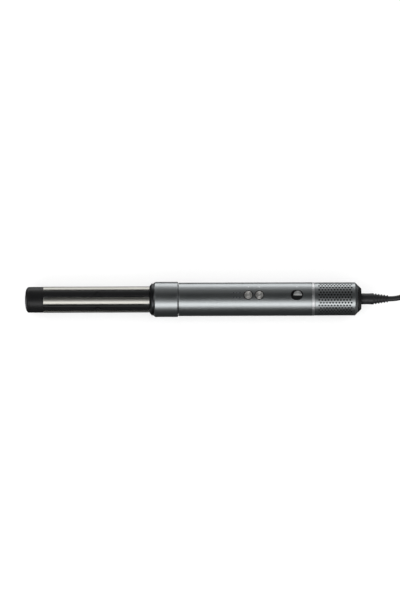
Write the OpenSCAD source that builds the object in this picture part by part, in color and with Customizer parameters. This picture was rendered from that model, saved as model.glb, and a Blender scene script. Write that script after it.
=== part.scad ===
// Corded hot-air curling iron: a slotted barrel that pushes onto a round powered handle.
// The iron lies on its collar with its axis along X, the barrel's tip at -X and its cord at +X.
// Stations are measured along the axis from the tip's end face, and radii from the axis.

/* [Barrel] */
// Outside diameter over the metal blades
barrel_d = 32; // [28:0.5:39]
// Visible length of the slotted barrel
barrel_len = 128.7; // [100:0.1:160]
// Metal blades round the barrel, each followed by a black panel
blade_count = 5; // [4:1:6]
// Width of the air slot beside each blade
slot_w = 1.3; // [0.8:0.1:2]
// Radial thickness of the blades
blade_t = 1.55; // [1.2:0.05:2]
// How far the panels and the tip cap sit below the blades
panel_drop = 0.4; // [0.2:0.1:0.8]
// Wall of the perforated core tube
core_t = 1.4; // [1:0.1:2]
// Length of the tip cap
cap_len = 22.3; // [16:0.1:30]
// Radius of the round plate in the tip
plate_r = 6.6; // [5:0.1:8]

/* [Coupling] */
// Axial length of the chamfered shoulder ring
shoulder_len = 5.4; // [4:0.1:8]
// Length of the metal collar
collar_len = 28.9; // [24:0.1:40]
// How far the collar stands above the handle
collar_step = 1.05; // [0.5:0.05:2]
// Length of the handle's nose inside the collar
nose_len = 19.5; // [16:0.1:22]
// Travel needed to pull the barrel clear of the nose
pull_travel = 25; // [20:1:40]

/* [Handle] */
// Outside diameter of the metal handle
handle_d = 40.5; // [34:0.5:48]
// Length of the metal handle
handle_len = 161.7; // [150:0.1:195]
// Wall of the handle shell
shell_t = 1.4; // [1:0.1:2]
// Width of the control board
board_w = 18; // [15:0.5:20]

/* [Controls] */
// Diameter of the round buttons
button_d = 9.5; // [8:0.1:11]
// Width of the black ring round each button
button_ring = 1.05; // [0.8:0.05:1.4]
// Distance between the two buttons
button_pitch = 13.3; // [12.5:0.1:16]
// First button, measured from the front of the handle
button_x = 84.5; // [80:0.1:90]
// Button travel
button_travel = 0.8; // [0.4:0.1:1]
// Centre of the slide switch, measured from the front of the handle
slide_x = 143.2; // [138:0.1:146]
// Diameter of the sliding nub
nub_d = 11.4; // [10:0.1:12]
// Travel of the slide switch
slide_travel = 2; // [1.5:0.1:3.4]
// Distance between indicator lights along the handle
light_pitch = 3.8; // [3:0.1:4.5]
// Diameter of an indicator light
light_d = 1.5; // [1:0.1:2]

/* [Filter and rear end] */
// Width of the bright trim ring
trim_w = 3.2; // [2:0.1:5]
// Length of the perforated filter sleeve
sleeve_len = 51.9; // [45:0.1:60]
// Wall of the filter sleeve
sleeve_t = 0.8; // [0.6:0.1:1.2]
// How far the sleeve sits below the handle
sleeve_step = 0.2; // [0.1:0.05:0.5]
// Chamfer at the rear of the sleeve
sleeve_chamfer = 3.1; // [2.5:0.1:4]
// Axial length of the rear cap behind the sleeve
rear_len = 4.6; // [4:0.1:7]
// Outside diameter of the swivelling cord boot
boot_d = 13.6; // [12:0.1:16]
// Length of the boot, with its tapered tail
boot_len = 32; // [26:1:50]
// Diameter of the cord
cord_d = 6.5; // [5.5:0.1:7]

/* [Plug] */
// Diameter of a contact pin
pin_d = 4.8; // [4:0.1:5]
// Length of a contact pin
pin_len = 19; // [17:0.1:20]
// Distance between the pins
pin_gap = 19; // [18:0.1:20]
// Width of the plug body across the pins
plug_w = 35; // [30:0.5:38]
// Thickness of the plug body
plug_t = 17; // [14:0.5:20]
// Length of the plug body
plug_len = 34; // [28:0.5:40]

/* [Hidden] */
$fn = 72;

run = 0.08;          // radial clearance of a running fit
slip = 0.3;          // clearance between pieces that pass freely
touch = 0.05;        // gap between seated pieces
weld = 0.5;          // overlap of one piece's own features

// Radii of the barrel
barrel_r = barrel_d / 2;
panel_r = barrel_r - panel_drop;
strip_ri = barrel_r - blade_t;
core_r = strip_ri - touch;
core_ri = core_r - core_t;
strip_angle = 180 / blade_count - asin(slot_w / barrel_r);
blade_clock = 21;    // turn of the first blade away from the buttons

// Radii of the handle and collar
handle_r = handle_d / 2;
shell_ri = handle_r - shell_t;
collar_r = handle_r + collar_step;
collar_ri = collar_r - 1.5;
nose_r = shell_ri - 1.6;
nose_ri = nose_r - 2.4;

// Stations along the axis
cap_end = cap_len;
barrel_end = cap_end + barrel_len;
collar_start = barrel_end + shoulder_len + 0.2;
collar_end = collar_start + collar_len;
shell_start = collar_end + 0.4;
shell_end = shell_start + handle_len;
trim_end = shell_end + trim_w;
sleeve_start = trim_end + 0.25;
sleeve_end = sleeve_start + sleeve_len;
rear_end = sleeve_end + rear_len;
boot_end = rear_end + 0.3 + boot_len;
nose_start = shell_start - nose_len;

// Control board and the round bay below it
board_t = 1.2;
board_top = sqrt(pow(shell_ri - 0.5, 2) - pow(board_w / 2, 2));
board_bottom = board_top - board_t;
bay_r = board_bottom - slip;
screw_r = 0.85;
screw_room = 0.09;   // how far a board screw's tip may reach into the bay's edge
screw_y = board_w / 2 - 2;
screw_tip = sqrt(pow(bay_r - screw_room, 2) - pow(screw_y - screw_r, 2));
board_start = shell_start + 60;
board_end = shell_end - 6;
heater_start = shell_start + 26;
heater_end = shell_start + 98;
motor_start = shell_start + 108;
motor_end = shell_end - 12;

// Buttons, from the board upwards
switch_h = 0.7;
plunger_top = board_top + switch_h + 0.1;
flange_z = plunger_top + button_travel + touch;
flange_t = 0.6;
button_r = button_d / 2;
ring_r = button_r + run;
bezel_r = button_r + button_ring;
button_stations = [shell_start + button_x, shell_start + button_x + button_pitch];

// Slide switch
nub_r = nub_d / 2;
slide_r = nub_r + 0.15;
slide_rim_r = slide_r + 0.6;
plate_z = board_top + 0.9;
plate_t = 0.8;
plate_room = 0.57;   // clearance between the slide's plate and the shell beside it
plate_half = sqrt(pow(shell_ri, 2) - pow(plate_z + plate_t, 2)) - plate_room;
slide_station = shell_start + slide_x;

// Sleeve and rear end
sleeve_r = handle_r - sleeve_step;
sleeve_ri = sleeve_r - sleeve_t;
sleeve_rim_r = sleeve_r - sleeve_chamfer;
mouth_r = sleeve_rim_r - 0.6;
rear_r = mouth_r - 0.1;
rear_face_r = rear_r - 2.7;
land_r = sleeve_ri - run;
boot_r = boot_d / 2;
neck_r = boot_r - 0.35;
cord_r = cord_d / 2;
cord_bore_r = cord_r + 0.1;

// The iron lies on its collar, centred along X
axis_h = collar_r;
iron_len = boot_end;

black = "#1c1d1f";
gunmetal = "#6f767c";

// ---- helpers ----

// Puts a piece drawn on the axis, stationed from the tip, where the iron lies
module placed() translate([-iron_len / 2, 0, axis_h]) children();

// A solid of revolution about the iron's axis, from [radius, station] points
module turned(points) placed() rotate([0, 90, 0]) rotate_extrude() polygon(points);

// A plain tube on the axis
module tube(r_out, r_in, x0, x1) turned([[r_in, x0], [r_out, x0], [r_out, x1], [r_in, x1]]);

// The outer skin of the handle, proud by a little, that top trim is cut to
module skin(proud, x0, x1)
  translate([x0, 0, 0]) rotate([0, 90, 0]) cylinder(r = handle_r + proud, h = x1 - x0);

// A straight slot's outline, from z0 to z1, with its length along X
module stadium(r, length, z0, z1) {
  translate([-length / 2, 0, z0]) cylinder(r = r, h = z1 - z0);
  translate([length / 2, 0, z0]) cylinder(r = r, h = z1 - z0);
  translate([-length / 2, -r, z0]) cube([length, 2 * r, z1 - z0]);
}

// ---- barrel attachment ----

module tip_plate() {
  color("#5d6063")
  turned([[0, 0], [plate_r - 1.4, 0.25], [plate_r, 1], [plate_r, 2.2], [0, 2.2]]);
}

// Domed cap with a counterbored web that the tip screw pulls against
module tip_cap() {
  lip_x = cap_end - 3.3;
  web_x = 6;
  seat_x = 4.45;
  dome = 5;
  dome_r = plate_r + 0.3;
  color(black)
  turned(concat(
    [[plate_r + touch, 2.3], [plate_r + touch, 0.7]],
    [for (i = [0:8]) let (a = i * 90 / 8)
      [dome_r + (panel_r - dome_r) * sin(a), dome - (dome - 0.5) * cos(a)]],
    [[panel_r, cap_end], [core_r + 0.6, cap_end], [core_r + 0.6, lip_x], [core_r + touch, lip_x],
     [core_r + touch, 10], [core_ri - 1.5, 10], [core_ri - 1.5, web_x], [1.7, web_x],
     [1.7, seat_x], [3.4, seat_x], [3.4, 2.3]]));
}

module tip_screw() {
  color("silver")
  turned([[0, 2.6], [3.2, 2.6], [3.2, 4.4], [1.5, 4.4], [1.5, 17], [0, 17]]);
}

module barrel_core() {
  boss_x = 10.2;
  color("#2b2c2e")
  difference() {
    union() {
      tube(core_r, core_ri, boss_x, collar_start + 9);
      tube(core_ri + weld, 1.55, boss_x, boss_x + 4);
      tube(4, 1.55, boss_x, boss_x + 9);
    }
    placed() for (i = [0:blade_count * 2 - 1])
      rotate([blade_clock + (i + 0.5) * 180 / blade_count, 0, 0])
        translate([cap_end + 6, -1, core_ri - 2]) cube([barrel_len - 12, 2, core_t + 4]);
    placed() for (i = [0:3]) rotate([i * 90 + 45, 0, 0])
      translate([boss_x - 1, 0, (core_ri + 4) / 2]) rotate([0, 90, 0]) cylinder(r = 2.6, h = 6);
  }
}

// One strip of the barrel's wall, with a thin tongue under the rings at each end
module strip(clock, r_out) {
  tongue = 3;
  tongue_r = strip_ri + 0.5;
  x0 = cap_end + 0.15;
  x1 = barrel_end - 0.15;
  placed() rotate([clock, 0, 0]) rotate([0, 90, 0]) rotate([0, 0, 180 - strip_angle / 2])
    rotate_extrude(angle = strip_angle)
      polygon([[strip_ri, x0 - tongue], [tongue_r, x0 - tongue], [tongue_r, x0], [r_out - 0.2, x0],
        [r_out, x0 + 0.2], [r_out, x1 - 0.2], [r_out - 0.2, x1], [tongue_r, x1],
        [tongue_r, x1 + tongue], [strip_ri, x1 + tongue]]);
}

module air_blades() {
  color("#a8a69d")
  for (i = [0:blade_count - 1]) strip(blade_clock + i * 360 / blade_count, barrel_r);
}

// A raised arrow head that shows which way the hair wraps
module wrap_arrow() {
  arm = 6.4;
  stroke = 1.1;
  for (side = [-1, 1])
    rotate([0, 0, side * 42]) translate([-stroke / 2, -arm, 0]) cube([stroke, arm + 0.3, 6]);
}

module barrel_panels() {
  middle = cap_end + barrel_len / 2 + 1.7;
  color(black)
  for (i = [0:blade_count - 1]) {
    clock = blade_clock + (i + 0.5) * 360 / blade_count;
    difference() {
      strip(clock, panel_r);
      difference() {
        placed() rotate([clock, 0, 0]) translate([middle, 2.2, strip_ri - 1]) wrap_arrow();
        placed() rotate([0, 90, 0]) cylinder(r = panel_r - 0.35, h = barrel_end);
      }
    }
  }
}

module shoulder_ring() {
  x0 = barrel_end;
  groove_x = x0 + 3.4;
  front_r = collar_r - 1.7;
  color("#26272a")
  turned([[core_r + 0.6, x0], [barrel_r + 0.4, x0], [front_r, x0 + 2.8],
    [front_r, groove_x], [front_r - 0.9, groove_x + 0.25], [front_r - 0.9, groove_x + 0.75],
    [front_r + 0.2, groove_x + 1.1], [collar_r - 1, x0 + shoulder_len], [core_r + touch, x0 + shoulder_len],
    [core_r + touch, x0 + 3.3], [core_r + 0.6, x0 + 3.3]]);
}

module coupling_collar() {
  bevel = 1;
  rear_bevel = 0.8;
  color(gunmetal)
  turned([[collar_ri, collar_start], [collar_r - bevel, collar_start], [collar_r, collar_start + bevel],
    [collar_r, collar_end - rear_bevel], [collar_r - rear_bevel, collar_end],
    [collar_ri, collar_end]]);
}

module coupling_hub() {
  socket_x = nose_start - 0.6;
  color("#333538")
  turned([[core_r + touch, collar_start + 0.1], [collar_ri - touch, collar_start + 0.1],
    [collar_ri - touch, collar_end - 0.3], [nose_r + run, collar_end - 0.3], [nose_r + run, socket_x],
    [core_r + touch, socket_x]]);
}

module coupling_seal() {
  seal_x = nose_start - 0.55;
  color("#8a2f2a")
  tube(nose_r - 0.4, nose_ri, seal_x, seal_x + 0.5);
}

// ---- handle ----

module nose_spigot() {
  groove_x = nose_start + 8;
  seat_x = heater_start - 8;
  color("#3a3c3f")
  turned([[nose_ri, nose_start], [nose_r - 0.6, nose_start], [nose_r, nose_start + 0.6],
    [nose_r, groove_x], [nose_r - 1, groove_x], [nose_r - 1, groove_x + 2.6], [nose_r, groove_x + 2.6],
    [nose_r, shell_start + 0.2], [shell_ri - touch, shell_start + 0.2], [shell_ri - touch, seat_x],
    [nose_ri, seat_x]]);
}

module grip_ring() {
  groove_x = nose_start + 8;
  color("#c9a15a")
  tube(nose_r - 0.1, nose_r - 0.95, groove_x + 0.1, groove_x + 2.5);
}

// The vertical hole for a round button
module button_hole(station, r) {
  placed() translate([station, 0, 0]) cylinder(r = r, h = handle_r + 5);
}

// Centres of the six indicator lights, as [station, turn about the axis]
light_x = [for (i = [0:2]) shell_start + button_x - 10.2 - i * light_pitch];
light_turn = 8.6;

module light_pin(station, turn, r, r0, r1) {
  placed() rotate([turn, 0, 0]) translate([station, 0, r0]) cylinder(r = r, h = r1 - r0, $fn = 24);
}

module handle_shell() {
  edge = 0.4;
  front_edge = 0.8;
  color(gunmetal)
  difference() {
    turned([[shell_ri, shell_start], [handle_r - front_edge, shell_start],
      [handle_r, shell_start + front_edge],
      [handle_r, shell_end - edge], [handle_r - edge, shell_end], [shell_ri, shell_end]]);
    for (x = button_stations) button_hole(x, bezel_r + touch);
    placed() translate([slide_station, 0, 0])
      stadium(slide_rim_r + touch, slide_travel, 0, handle_r + 5);
    for (x = light_x, turn = [-light_turn, light_turn])
      light_pin(x, turn, light_d / 2 + touch, shell_ri - 2, handle_r + 2);
  }
}

// Two side rails joined by three rings that are open above for the board
module inner_frame() {
  ring_w = 5;
  rings = [heater_start + 4, board_start + 4, motor_end - 9];
  rail_out = shell_ri - 1;
  color("#4a4c50")
  difference() {
    union() {
      for (x = rings) tube(shell_ri - touch, bay_r + touch, x, x + ring_w);
      for (side = [-1, 1]) placed()
        translate([rings[0], side > 0 ? bay_r + 1 : -rail_out, -3])
          cube([rings[2] + ring_w - rings[0], rail_out - bay_r - 1, 6]);
    }
    placed() translate([heater_start, -board_w / 2 - 0.2, board_bottom])
      cube([motor_end, board_w + 0.4, 10]);
    for (x = board_screw_x, side = [-1, 1]) placed()
      translate([x, side * screw_y, screw_tip - 0.1]) cylinder(r = screw_r + touch, h = 5, $fn = 24);
  }
}

module heater_shroud() {
  color("#b8b2a0")
  tube(bay_r - 0.2, bay_r - 0.7, heater_start - 7.5, heater_end);
}

// Two crossed insulating cards, notched for the winding
module heater_cards() {
  half = bay_r - 1.1;
  color("#d8cfae")
  placed() for (turn = [45, 135]) rotate([turn, 0, 0]) difference() {
    translate([heater_start, -0.3, -half]) cube([heater_end - heater_start - 2, 0.6, 2 * half]);
    for (x = coil_x, side = [-1, 1])
      translate([x - 0.8, -1, side > 0 ? coil_r - 0.7 : -coil_r - 3]) cube([1.6, 2, 3.7]);
  }
}

coil_r = bay_r - 2.6;
coil_x = [for (i = [0:10]) heater_start + 6 + i * 6];

module heater_coil() {
  color("#9a8f86")
  placed() {
    for (x = coil_x) translate([x, 0, 0]) rotate([0, 90, 0]) rotate_extrude() translate([coil_r, 0])
      circle(r = 0.45, $fn = 16);
    translate([coil_x[0], 0, coil_r]) rotate([0, 90, 0])
      cylinder(r = 0.4, h = coil_x[10] - coil_x[0], $fn = 16);
  }
}

module thermal_cutout() {
  color("#e8e4da")
  placed() translate([heater_end + 1, -3.5, -bay_r + 2]) cube([6, 7, 3]);
}

motor_r = bay_r - 1.4;
motor_ri = motor_r - 1;

module motor_mount() {
  color("#55585c")
  for (x = [motor_start + 4, motor_end - 8]) tube(bay_r - 0.1, motor_r + touch, x, x + 4);
}

// Housing tube with a three-armed spider at each end that carries a bearing
module motor_housing() {
  color("#8d9094")
  union() {
    tube(motor_r, motor_ri, motor_start, motor_end);
    for (x = [motor_start + 12, motor_end - 4]) {
      tube(4, 3, x, x + 3);
      placed() for (i = [0:2]) rotate([i * 120, 0, 0])
        translate([x, -0.75, 3.5]) cube([3, 1.5, motor_ri - 3.2]);
    }
  }
}

module motor_stator() {
  x0 = motor_start + 18;
  color("#b5763a")
  difference() {
    tube(motor_ri - touch, 5, x0, x0 + 10);
    placed() for (i = [0:5]) rotate([i * 60, 0, 0])
      translate([x0 - 1, 0, (motor_ri + 5) / 2]) rotate([0, 90, 0]) cylinder(r = 1.8, h = 12);
  }
}

module motor_bearings() {
  color("silver")
  for (x = [motor_start + 12, motor_end - 4]) tube(3 - touch, 1.05, x, x + 3);
}

module rotor_shaft() {
  color("#c8cacc")
  turned([[0, motor_start + 3], [1, motor_start + 3], [1, motor_start + 17.5], [4.6, motor_start + 17.5],
    [4.6, motor_start + 28.5], [1, motor_start + 28.5], [1, motor_end - 0.5], [0, motor_end - 0.5]]);
}

// Bladed fan wheel pressed onto the shaft
module impeller() {
  x0 = motor_start + 4;
  blades = 9;
  color("#26282b")
  union() {
    turned([[1, x0], [4.2, x0], [6, x0 + 6.5], [1, x0 + 6.5]]);
    placed() for (i = [0:blades - 1]) rotate([i * 360 / blades, 0, 0])
      translate([x0 + 3.2, 0, 4.2]) rotate([0, 0, 35])
        translate([-2.6, -0.4, 0]) cube([5.2, 0.8, motor_ri - 0.5 - 4.2]);
  }
}

module board_hole(x, side) {
  placed() translate([x, side * screw_y, board_bottom - 1])
    cylinder(r = 1.1, h = board_t + 2, $fn = 24);
}

board_screw_x = [board_start + 6.5, motor_end - 6.5];

module control_board() {
  color("#2f5d3a")
  difference() {
    placed() translate([board_start, -board_w / 2, board_bottom])
      cube([board_end - board_start, board_w, board_t]);
    for (x = board_screw_x, side = [-1, 1]) board_hole(x, side);
  }
}

module board_screws() {
  color("silver")
  for (x = board_screw_x, side = [-1, 1]) placed()
    translate([x, side * screw_y, 0]) {
      translate([0, 0, screw_tip]) cylinder(r = screw_r, h = board_top + 0.2 - screw_tip, $fn = 24);
      translate([0, 0, board_top]) cylinder(r = 1.7, h = 0.7, $fn = 24);
    }
}

module tact_switches() {
  color("#2a2a2c")
  for (x = button_stations) placed() translate([x, 0, board_top]) {
    translate([-3, -3, 0]) cube([6, 6, switch_h]);
    cylinder(r = 1.5, h = plunger_top - board_top);
  }
}

module switch_body() {
  color("#2a2a2c")
  placed() translate([slide_station, 0, board_top]) difference() {
    translate([-5, -3, 0]) cube([10, 6, 0.8]);
    translate([-slide_travel / 2 - 1.2, -1, 0.3]) cube([slide_travel + 2.4, 2, 2]);
  }
}

module indicator_lights() {
  color("#3b4046")
  for (x = light_x, turn = [-light_turn, light_turn])
    light_pin(x, turn, light_d / 2, board_top + 1, handle_r - 0.05);
}

module button_bezels() {
  color(black)
  for (x = button_stations) placed() intersection() {
    skin(0.12, x - bezel_r - 1, x + bezel_r + 1);
    translate([x, 0, 0]) difference() {
      translate([0, 0, flange_z]) cylinder(r = bezel_r, h = handle_r);
      cylinder(r = ring_r, h = 2 * handle_r);
      cylinder(r = ring_r + 0.45, h = flange_z + flange_t + touch);
    }
  }
}

// A round button: a retaining flange below, and a shallow spun dish on top
module button(station) {
  top = handle_r + 0.3;
  color("#c9c6bd")
  placed() translate([station, 0, 0]) rotate_extrude()
    polygon([[0, flange_z], [button_r + 0.35, flange_z], [button_r + 0.35, flange_z + flange_t],
      [button_r, flange_z + flange_t], [button_r, top - 0.3], [button_r - 0.3, top],
      [button_r - 0.6, top], [0, top - 0.45]]);
}

module airflow_button() button(button_stations[0]);

module heat_button() button(button_stations[1]);

module slide_bezel() {
  color(black)
  placed() intersection() {
    skin(0.1, slide_station - 12, slide_station + 12);
    translate([slide_station, 0, 0]) difference() {
      stadium(slide_rim_r, slide_travel, plate_z + 0.9, handle_r + 5);
      stadium(slide_r, slide_travel, plate_z - 1, handle_r + 6);
    }
  }
}

// Nub at the rear end of its slot, with a half-moon grip that the thumb pushes
module power_slider() {
  floor_z = handle_r - 1.1;
  grip_z = handle_r + 0.3;
  color("#85888b")
  placed() translate([slide_station, 0, 0]) {
    translate([slide_travel / 2, 0, 0]) {
      translate([0, 0, plate_z]) cylinder(r = nub_r, h = floor_z - plate_z);
      intersection() {
        translate([0, 0, plate_z]) cylinder(r = nub_r, h = grip_z - plate_z);
        translate([-nub_r - 1, -0.4, plate_z]) cube([2 * nub_r + 2, nub_r + 2, 10]);
      }
      translate([-0.7, -0.7, plate_z - 0.5]) cube([1.4, 1.4, 1]);
    }
    translate([-8, -plate_half, plate_z]) cube([17, 2 * plate_half, plate_t]);
  }
}

// ---- filter and rear end ----

module trim_ring() {
  edge = 0.35;
  x0 = shell_end + 0.1;
  x1 = trim_end;
  color("#d9dbdd")
  turned([[shell_ri - 1.2, x0 - 4], [shell_ri - touch, x0 - 4], [shell_ri - touch, x0], [handle_r - edge, x0],
    [handle_r, x0 + edge], [handle_r, x1 - edge], [handle_r - edge, x1], [shell_ri - 1.2, x1]]);
}

// Cage with two smooth lands that the sleeve slides on and long windows between them
module filter_core() {
  ribs = 6;
  land_w = 3;
  x0 = sleeve_start;
  x1 = sleeve_end - sleeve_chamfer - 1;
  cage_r = land_r - 1;
  color("#303236")
  union() {
    tube(land_r, cage_r - 1, x0, x0 + land_w);
    tube(land_r, cage_r - 1, x1 - land_w, x1);
    placed() for (i = [0:ribs - 1]) rotate([i * 360 / ribs, 0, 0])
      translate([x0 + land_w - weld, -1.5, cage_r - 1.2]) cube([x1 - x0 - 2 * land_w + 2 * weld, 3, 1]);
  }
}

module filter_mesh() {
  color("#141517")
  tube(land_r - 0.4, land_r - 0.75, sleeve_start + 3.1, sleeve_end - sleeve_chamfer - 4.1);
}

module filter_sleeve() {
  edge = 0.3;
  cone_x = sleeve_end - sleeve_chamfer - 0.1;
  color(gunmetal)
  turned([[sleeve_ri, sleeve_start], [sleeve_r - edge, sleeve_start], [sleeve_r, sleeve_start + edge],
    [sleeve_r, cone_x], [sleeve_rim_r, sleeve_end], [mouth_r, sleeve_end], [mouth_r, sleeve_end - 0.9],
    [sleeve_ri, cone_x - 0.5]]);
}

module rear_cap() {
  x0 = sleeve_end - 4.2;
  round_x = rear_end - 1.2;
  color(black)
  turned([[rear_r - 1.5, x0], [rear_r, x0], [rear_r, sleeve_end + 0.9], [rear_face_r, round_x],
    [rear_face_r - 0.5, rear_end - 0.3], [rear_face_r - 1.2, rear_end], [neck_r + run, rear_end],
    [neck_r + run, rear_end - 3], [rear_r - 1.5, rear_end - 3]]);
}

module swivel_cup() {
  x0 = sleeve_end - 4;
  x1 = rear_end - 5.2;
  color("#45474a")
  turned([[cord_r + 0.6, x0], [rear_r - 1.55, x0], [rear_r - 1.55, x1], [cord_r + 0.6, x1]]);
}

module power_leads() {
  x0 = sleeve_end - 4.3;
  color("#7a3030")
  for (side = [-1, 1]) placed() translate([board_end + 2, side * 4, 0])
    rotate([0, 90, 0]) cylinder(r = 1.1, h = x0 - board_end - 2, $fn = 24);
}

// Ribbed tail: alternate lands and grooves that shrink towards the cord
tail_start_r = boot_r + 0.05;
tail_end_r = cord_r + 1.1;
tail_x = rear_end + 0.3 + 14.6;
tail_ribs = 5;
tail_pitch = (boot_end - tail_x) / tail_ribs;

function tail_r(i) = tail_start_r + (tail_end_r - tail_start_r) * i / tail_ribs;

module cord_boot() {
  flange_x = rear_end - 5;
  collar_x = rear_end + 0.3;
  color(black)
  turned(concat(
    [[cord_bore_r, flange_x], [neck_r + 2, flange_x], [neck_r + 2, rear_end - 3.2],
     [neck_r, rear_end - 3.2], [neck_r, collar_x], [boot_r - 0.3, collar_x], [boot_r, collar_x + 0.3],
     [boot_r - 0.25, collar_x + 7], [boot_r + 0.05, collar_x + 13.6], [tail_r(0), tail_x]],
    [for (i = [0:tail_ribs - 1], k = [0:3]) let (x = tail_x + i * tail_pitch)
      k == 0 ? [tail_r(i) - 1, x + 0.15] :
      k == 1 ? [tail_r(i + 1) - 1, x + 0.4 * tail_pitch] :
      k == 2 ? [tail_r(i + 1), x + 0.45 * tail_pitch] : [tail_r(i + 1), x + tail_pitch]],
    [[cord_bore_r, boot_end]]));
}

// ---- cord and plug ----

// Unit vector along a to b
function along(a, b) = (b - a) / norm(b - a);

// Tangent of a route at point i
function route_way(route, i) =
  along(route[max(0, i - 1)], route[min(len(route) - 1, i + 1)]);

// Two directions square to the route at point i
function route_side(route, i) = let (s = cross(route_way(route, i), [0, 0, 1])) s / norm(s);
function route_up(route, i) = cross(route_side(route, i), route_way(route, i));

// A round tube swept along a route, as one closed polyhedron
module swept(route, r, sides = 10) {
  count = len(route);
  rings = [for (i = [0:count - 1], k = [0:sides - 1]) let (a = k * 360 / sides)
    route[i] + r * cos(a) * route_side(route, i) + r * sin(a) * route_up(route, i)];
  walls = [for (i = [0:count - 2], k = [0:sides - 1]) let (n = (k + 1) % sides)
    [i * sides + k, i * sides + n, (i + 1) * sides + n, (i + 1) * sides + k]];
  first_end = [for (k = [sides - 1:-1:0]) k];
  last_end = [for (k = [0:sides - 1]) (count - 1) * sides + k];
  polyhedron(points = rings, faces = concat(walls, [first_end, last_end]), convexity = 6);
}

// Hank: its centre on the floor, the half length of its straight runs and its end radii
hank_x = 364;
hank_run = 46;
hank_turn_r = 19.5;
hank_waist = 9;
hank_h = 3 * cord_d;
hank_edge = hank_turn_r + 1.5 * cord_d;

// The cord from the boot down to the hank, and from the top of the hank to the plug
lead_route = [[214, 0, 21.3], [220, 0, 21.3], [226, 0.2, 21.15], [232, 1.2, 20.4], [238, 3, 19.2],
  [244, 5.3, 17.5], [250, 8, 15.6], [256, 11, 13.5], [262, 14, 11.4], [268, 17, 9.4], [274, 19.9, 7.5],
  [280, 22.3, 5.8], [286, 24.3, 4.4], [292, 25.5, 3.6], [298, 26, 3.25], [304, 26, 3.25],
  [311, 26, 3.25], [318, 26, 3.25]];
tail_route = [[318, 19.5, 16.25], [324, 19, 16.5], [330, 17.3, 17.4], [336, 14.9, 18.7],
  [342, 12.2, 20.3], [348, 9.3, 22], [354, 6.5, 23.8], [360, 4, 25.4], [366, 2, 26.8],
  [372, 0.7, 27.7], [378, 0.1, 28], [384, 0, 28]];
plug_axis_z = 28;
plug_x = 402;

module cord_lead() {
  color(black) swept(lead_route, cord_r);
}

module cord_tail() {
  color(black) swept(tail_route, cord_r);
}

// Half width of the hank along its length: round ends, and a waist where the tie pulls it in
function hank_half(x) = let (u = abs(x))
  u <= hank_run ? hank_edge - hank_waist * (1 + cos(180 * u / hank_run)) / 2
  : sqrt(max(0, pow(hank_edge, 2) - pow(u - hank_run, 2)));

hank_ends = [for (i = [0:6]) hank_run + hank_edge * sin(i * 15)];
hank_stations = concat([for (i = [6:-1:0]) -hank_ends[i]],
  [for (i = [1:11]) -hank_run + i * hank_run / 6], hank_ends);

module hank_outline() {
  last = len(hank_stations) - 1;
  polygon(concat([for (x = hank_stations) [x, hank_half(x)]],
    [for (i = [last - 1:-1:1]) [hank_stations[i], -hank_half(hank_stations[i])]]));
}

tie_w = 12;
tie_t = 1.3;
tie_half = hank_edge - hank_waist;

// The strap's outer or inner block, round the hank's waist
module tie_block(grow, length) {
  translate([hank_x - length / 2, -tie_half + 0.6 - grow, tie_t - grow])
    cube([length, 2 * (tie_half - 0.6 + grow), hank_h - 2 * tie_t + 1.2 + 2 * grow]);
}

module cord_hank() {
  color("#242527")
  difference() {
    translate([hank_x, 0, 0]) linear_extrude(height = hank_h) hank_outline();
    difference() {
      translate([hank_x - tie_w / 2 - 0.1, -60, -1]) cube([tie_w + 0.2, 120, hank_h + 10]);
      tie_block(0, tie_w + 2);
    }
  }
}

module cord_tie() {
  color("#151515")
  difference() {
    tie_block(tie_t, tie_w);
    tie_block(0, tie_w + 2);
  }
}

// A plug part turned about the plug's own axis, from [radius, x] points
module plug_turned(points)
  translate([plug_x, 0, plug_axis_z]) rotate([0, 90, 0]) rotate_extrude() polygon(points);

module plug_relief() {
  ribs = 4;
  pitch = 4.2;
  length = 20;
  color(black)
  plug_turned(concat([[cord_r + touch, -length], [cord_r + 0.9, -length]],
    [for (i = [0:ribs - 1], k = [0:3]) let (x = -length + i * pitch, r = cord_r + 1 + i * 0.45)
      k == 0 ? [r, x + 0.1] : k == 1 ? [r + 0.3, x + 0.6 * pitch] :
      k == 2 ? [r - 0.7, x + 0.65 * pitch] : [r - 0.5, x + 0.98 * pitch]],
    [[cord_r + 3, -1], [cord_r + 3, 0], [cord_r + touch, 0]]));
}

// Moulded body: a flat oval block whose sides draw in towards the cord
module plug_body() {
  round_r = plug_t / 2;
  half = plug_w / 2;
  color(black)
  translate([plug_x, 0, plug_axis_z])
    intersection() {
      rotate([0, 90, 0]) linear_extrude(height = plug_len) union() {
        for (side = [-1, 1]) translate([0, side * (half - round_r)]) circle(r = round_r);
        translate([-round_r, -half + round_r]) square([plug_t, 2 * (half - round_r)]);
      }
      translate([0, 0, -plug_t]) linear_extrude(height = 2 * plug_t)
        polygon([[0, -7], [6, -8.5], [14, -half + 1.5], [20, -half], [plug_len, -half],
          [plug_len, half], [20, half], [14, half - 1.5], [6, 8.5], [0, 7]]);
    }
}

module plug_pins() {
  color("silver")
  for (side = [-1, 1]) translate([plug_x, side * pin_gap / 2, plug_axis_z])
    rotate([0, 90, 0]) rotate_extrude()
      polygon([[0, plug_len], [pin_d / 2, plug_len], [pin_d / 2, plug_len + pin_len - 1.2],
        [pin_d / 2 - 1, plug_len + pin_len], [0, plug_len + pin_len]]);
}

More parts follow.
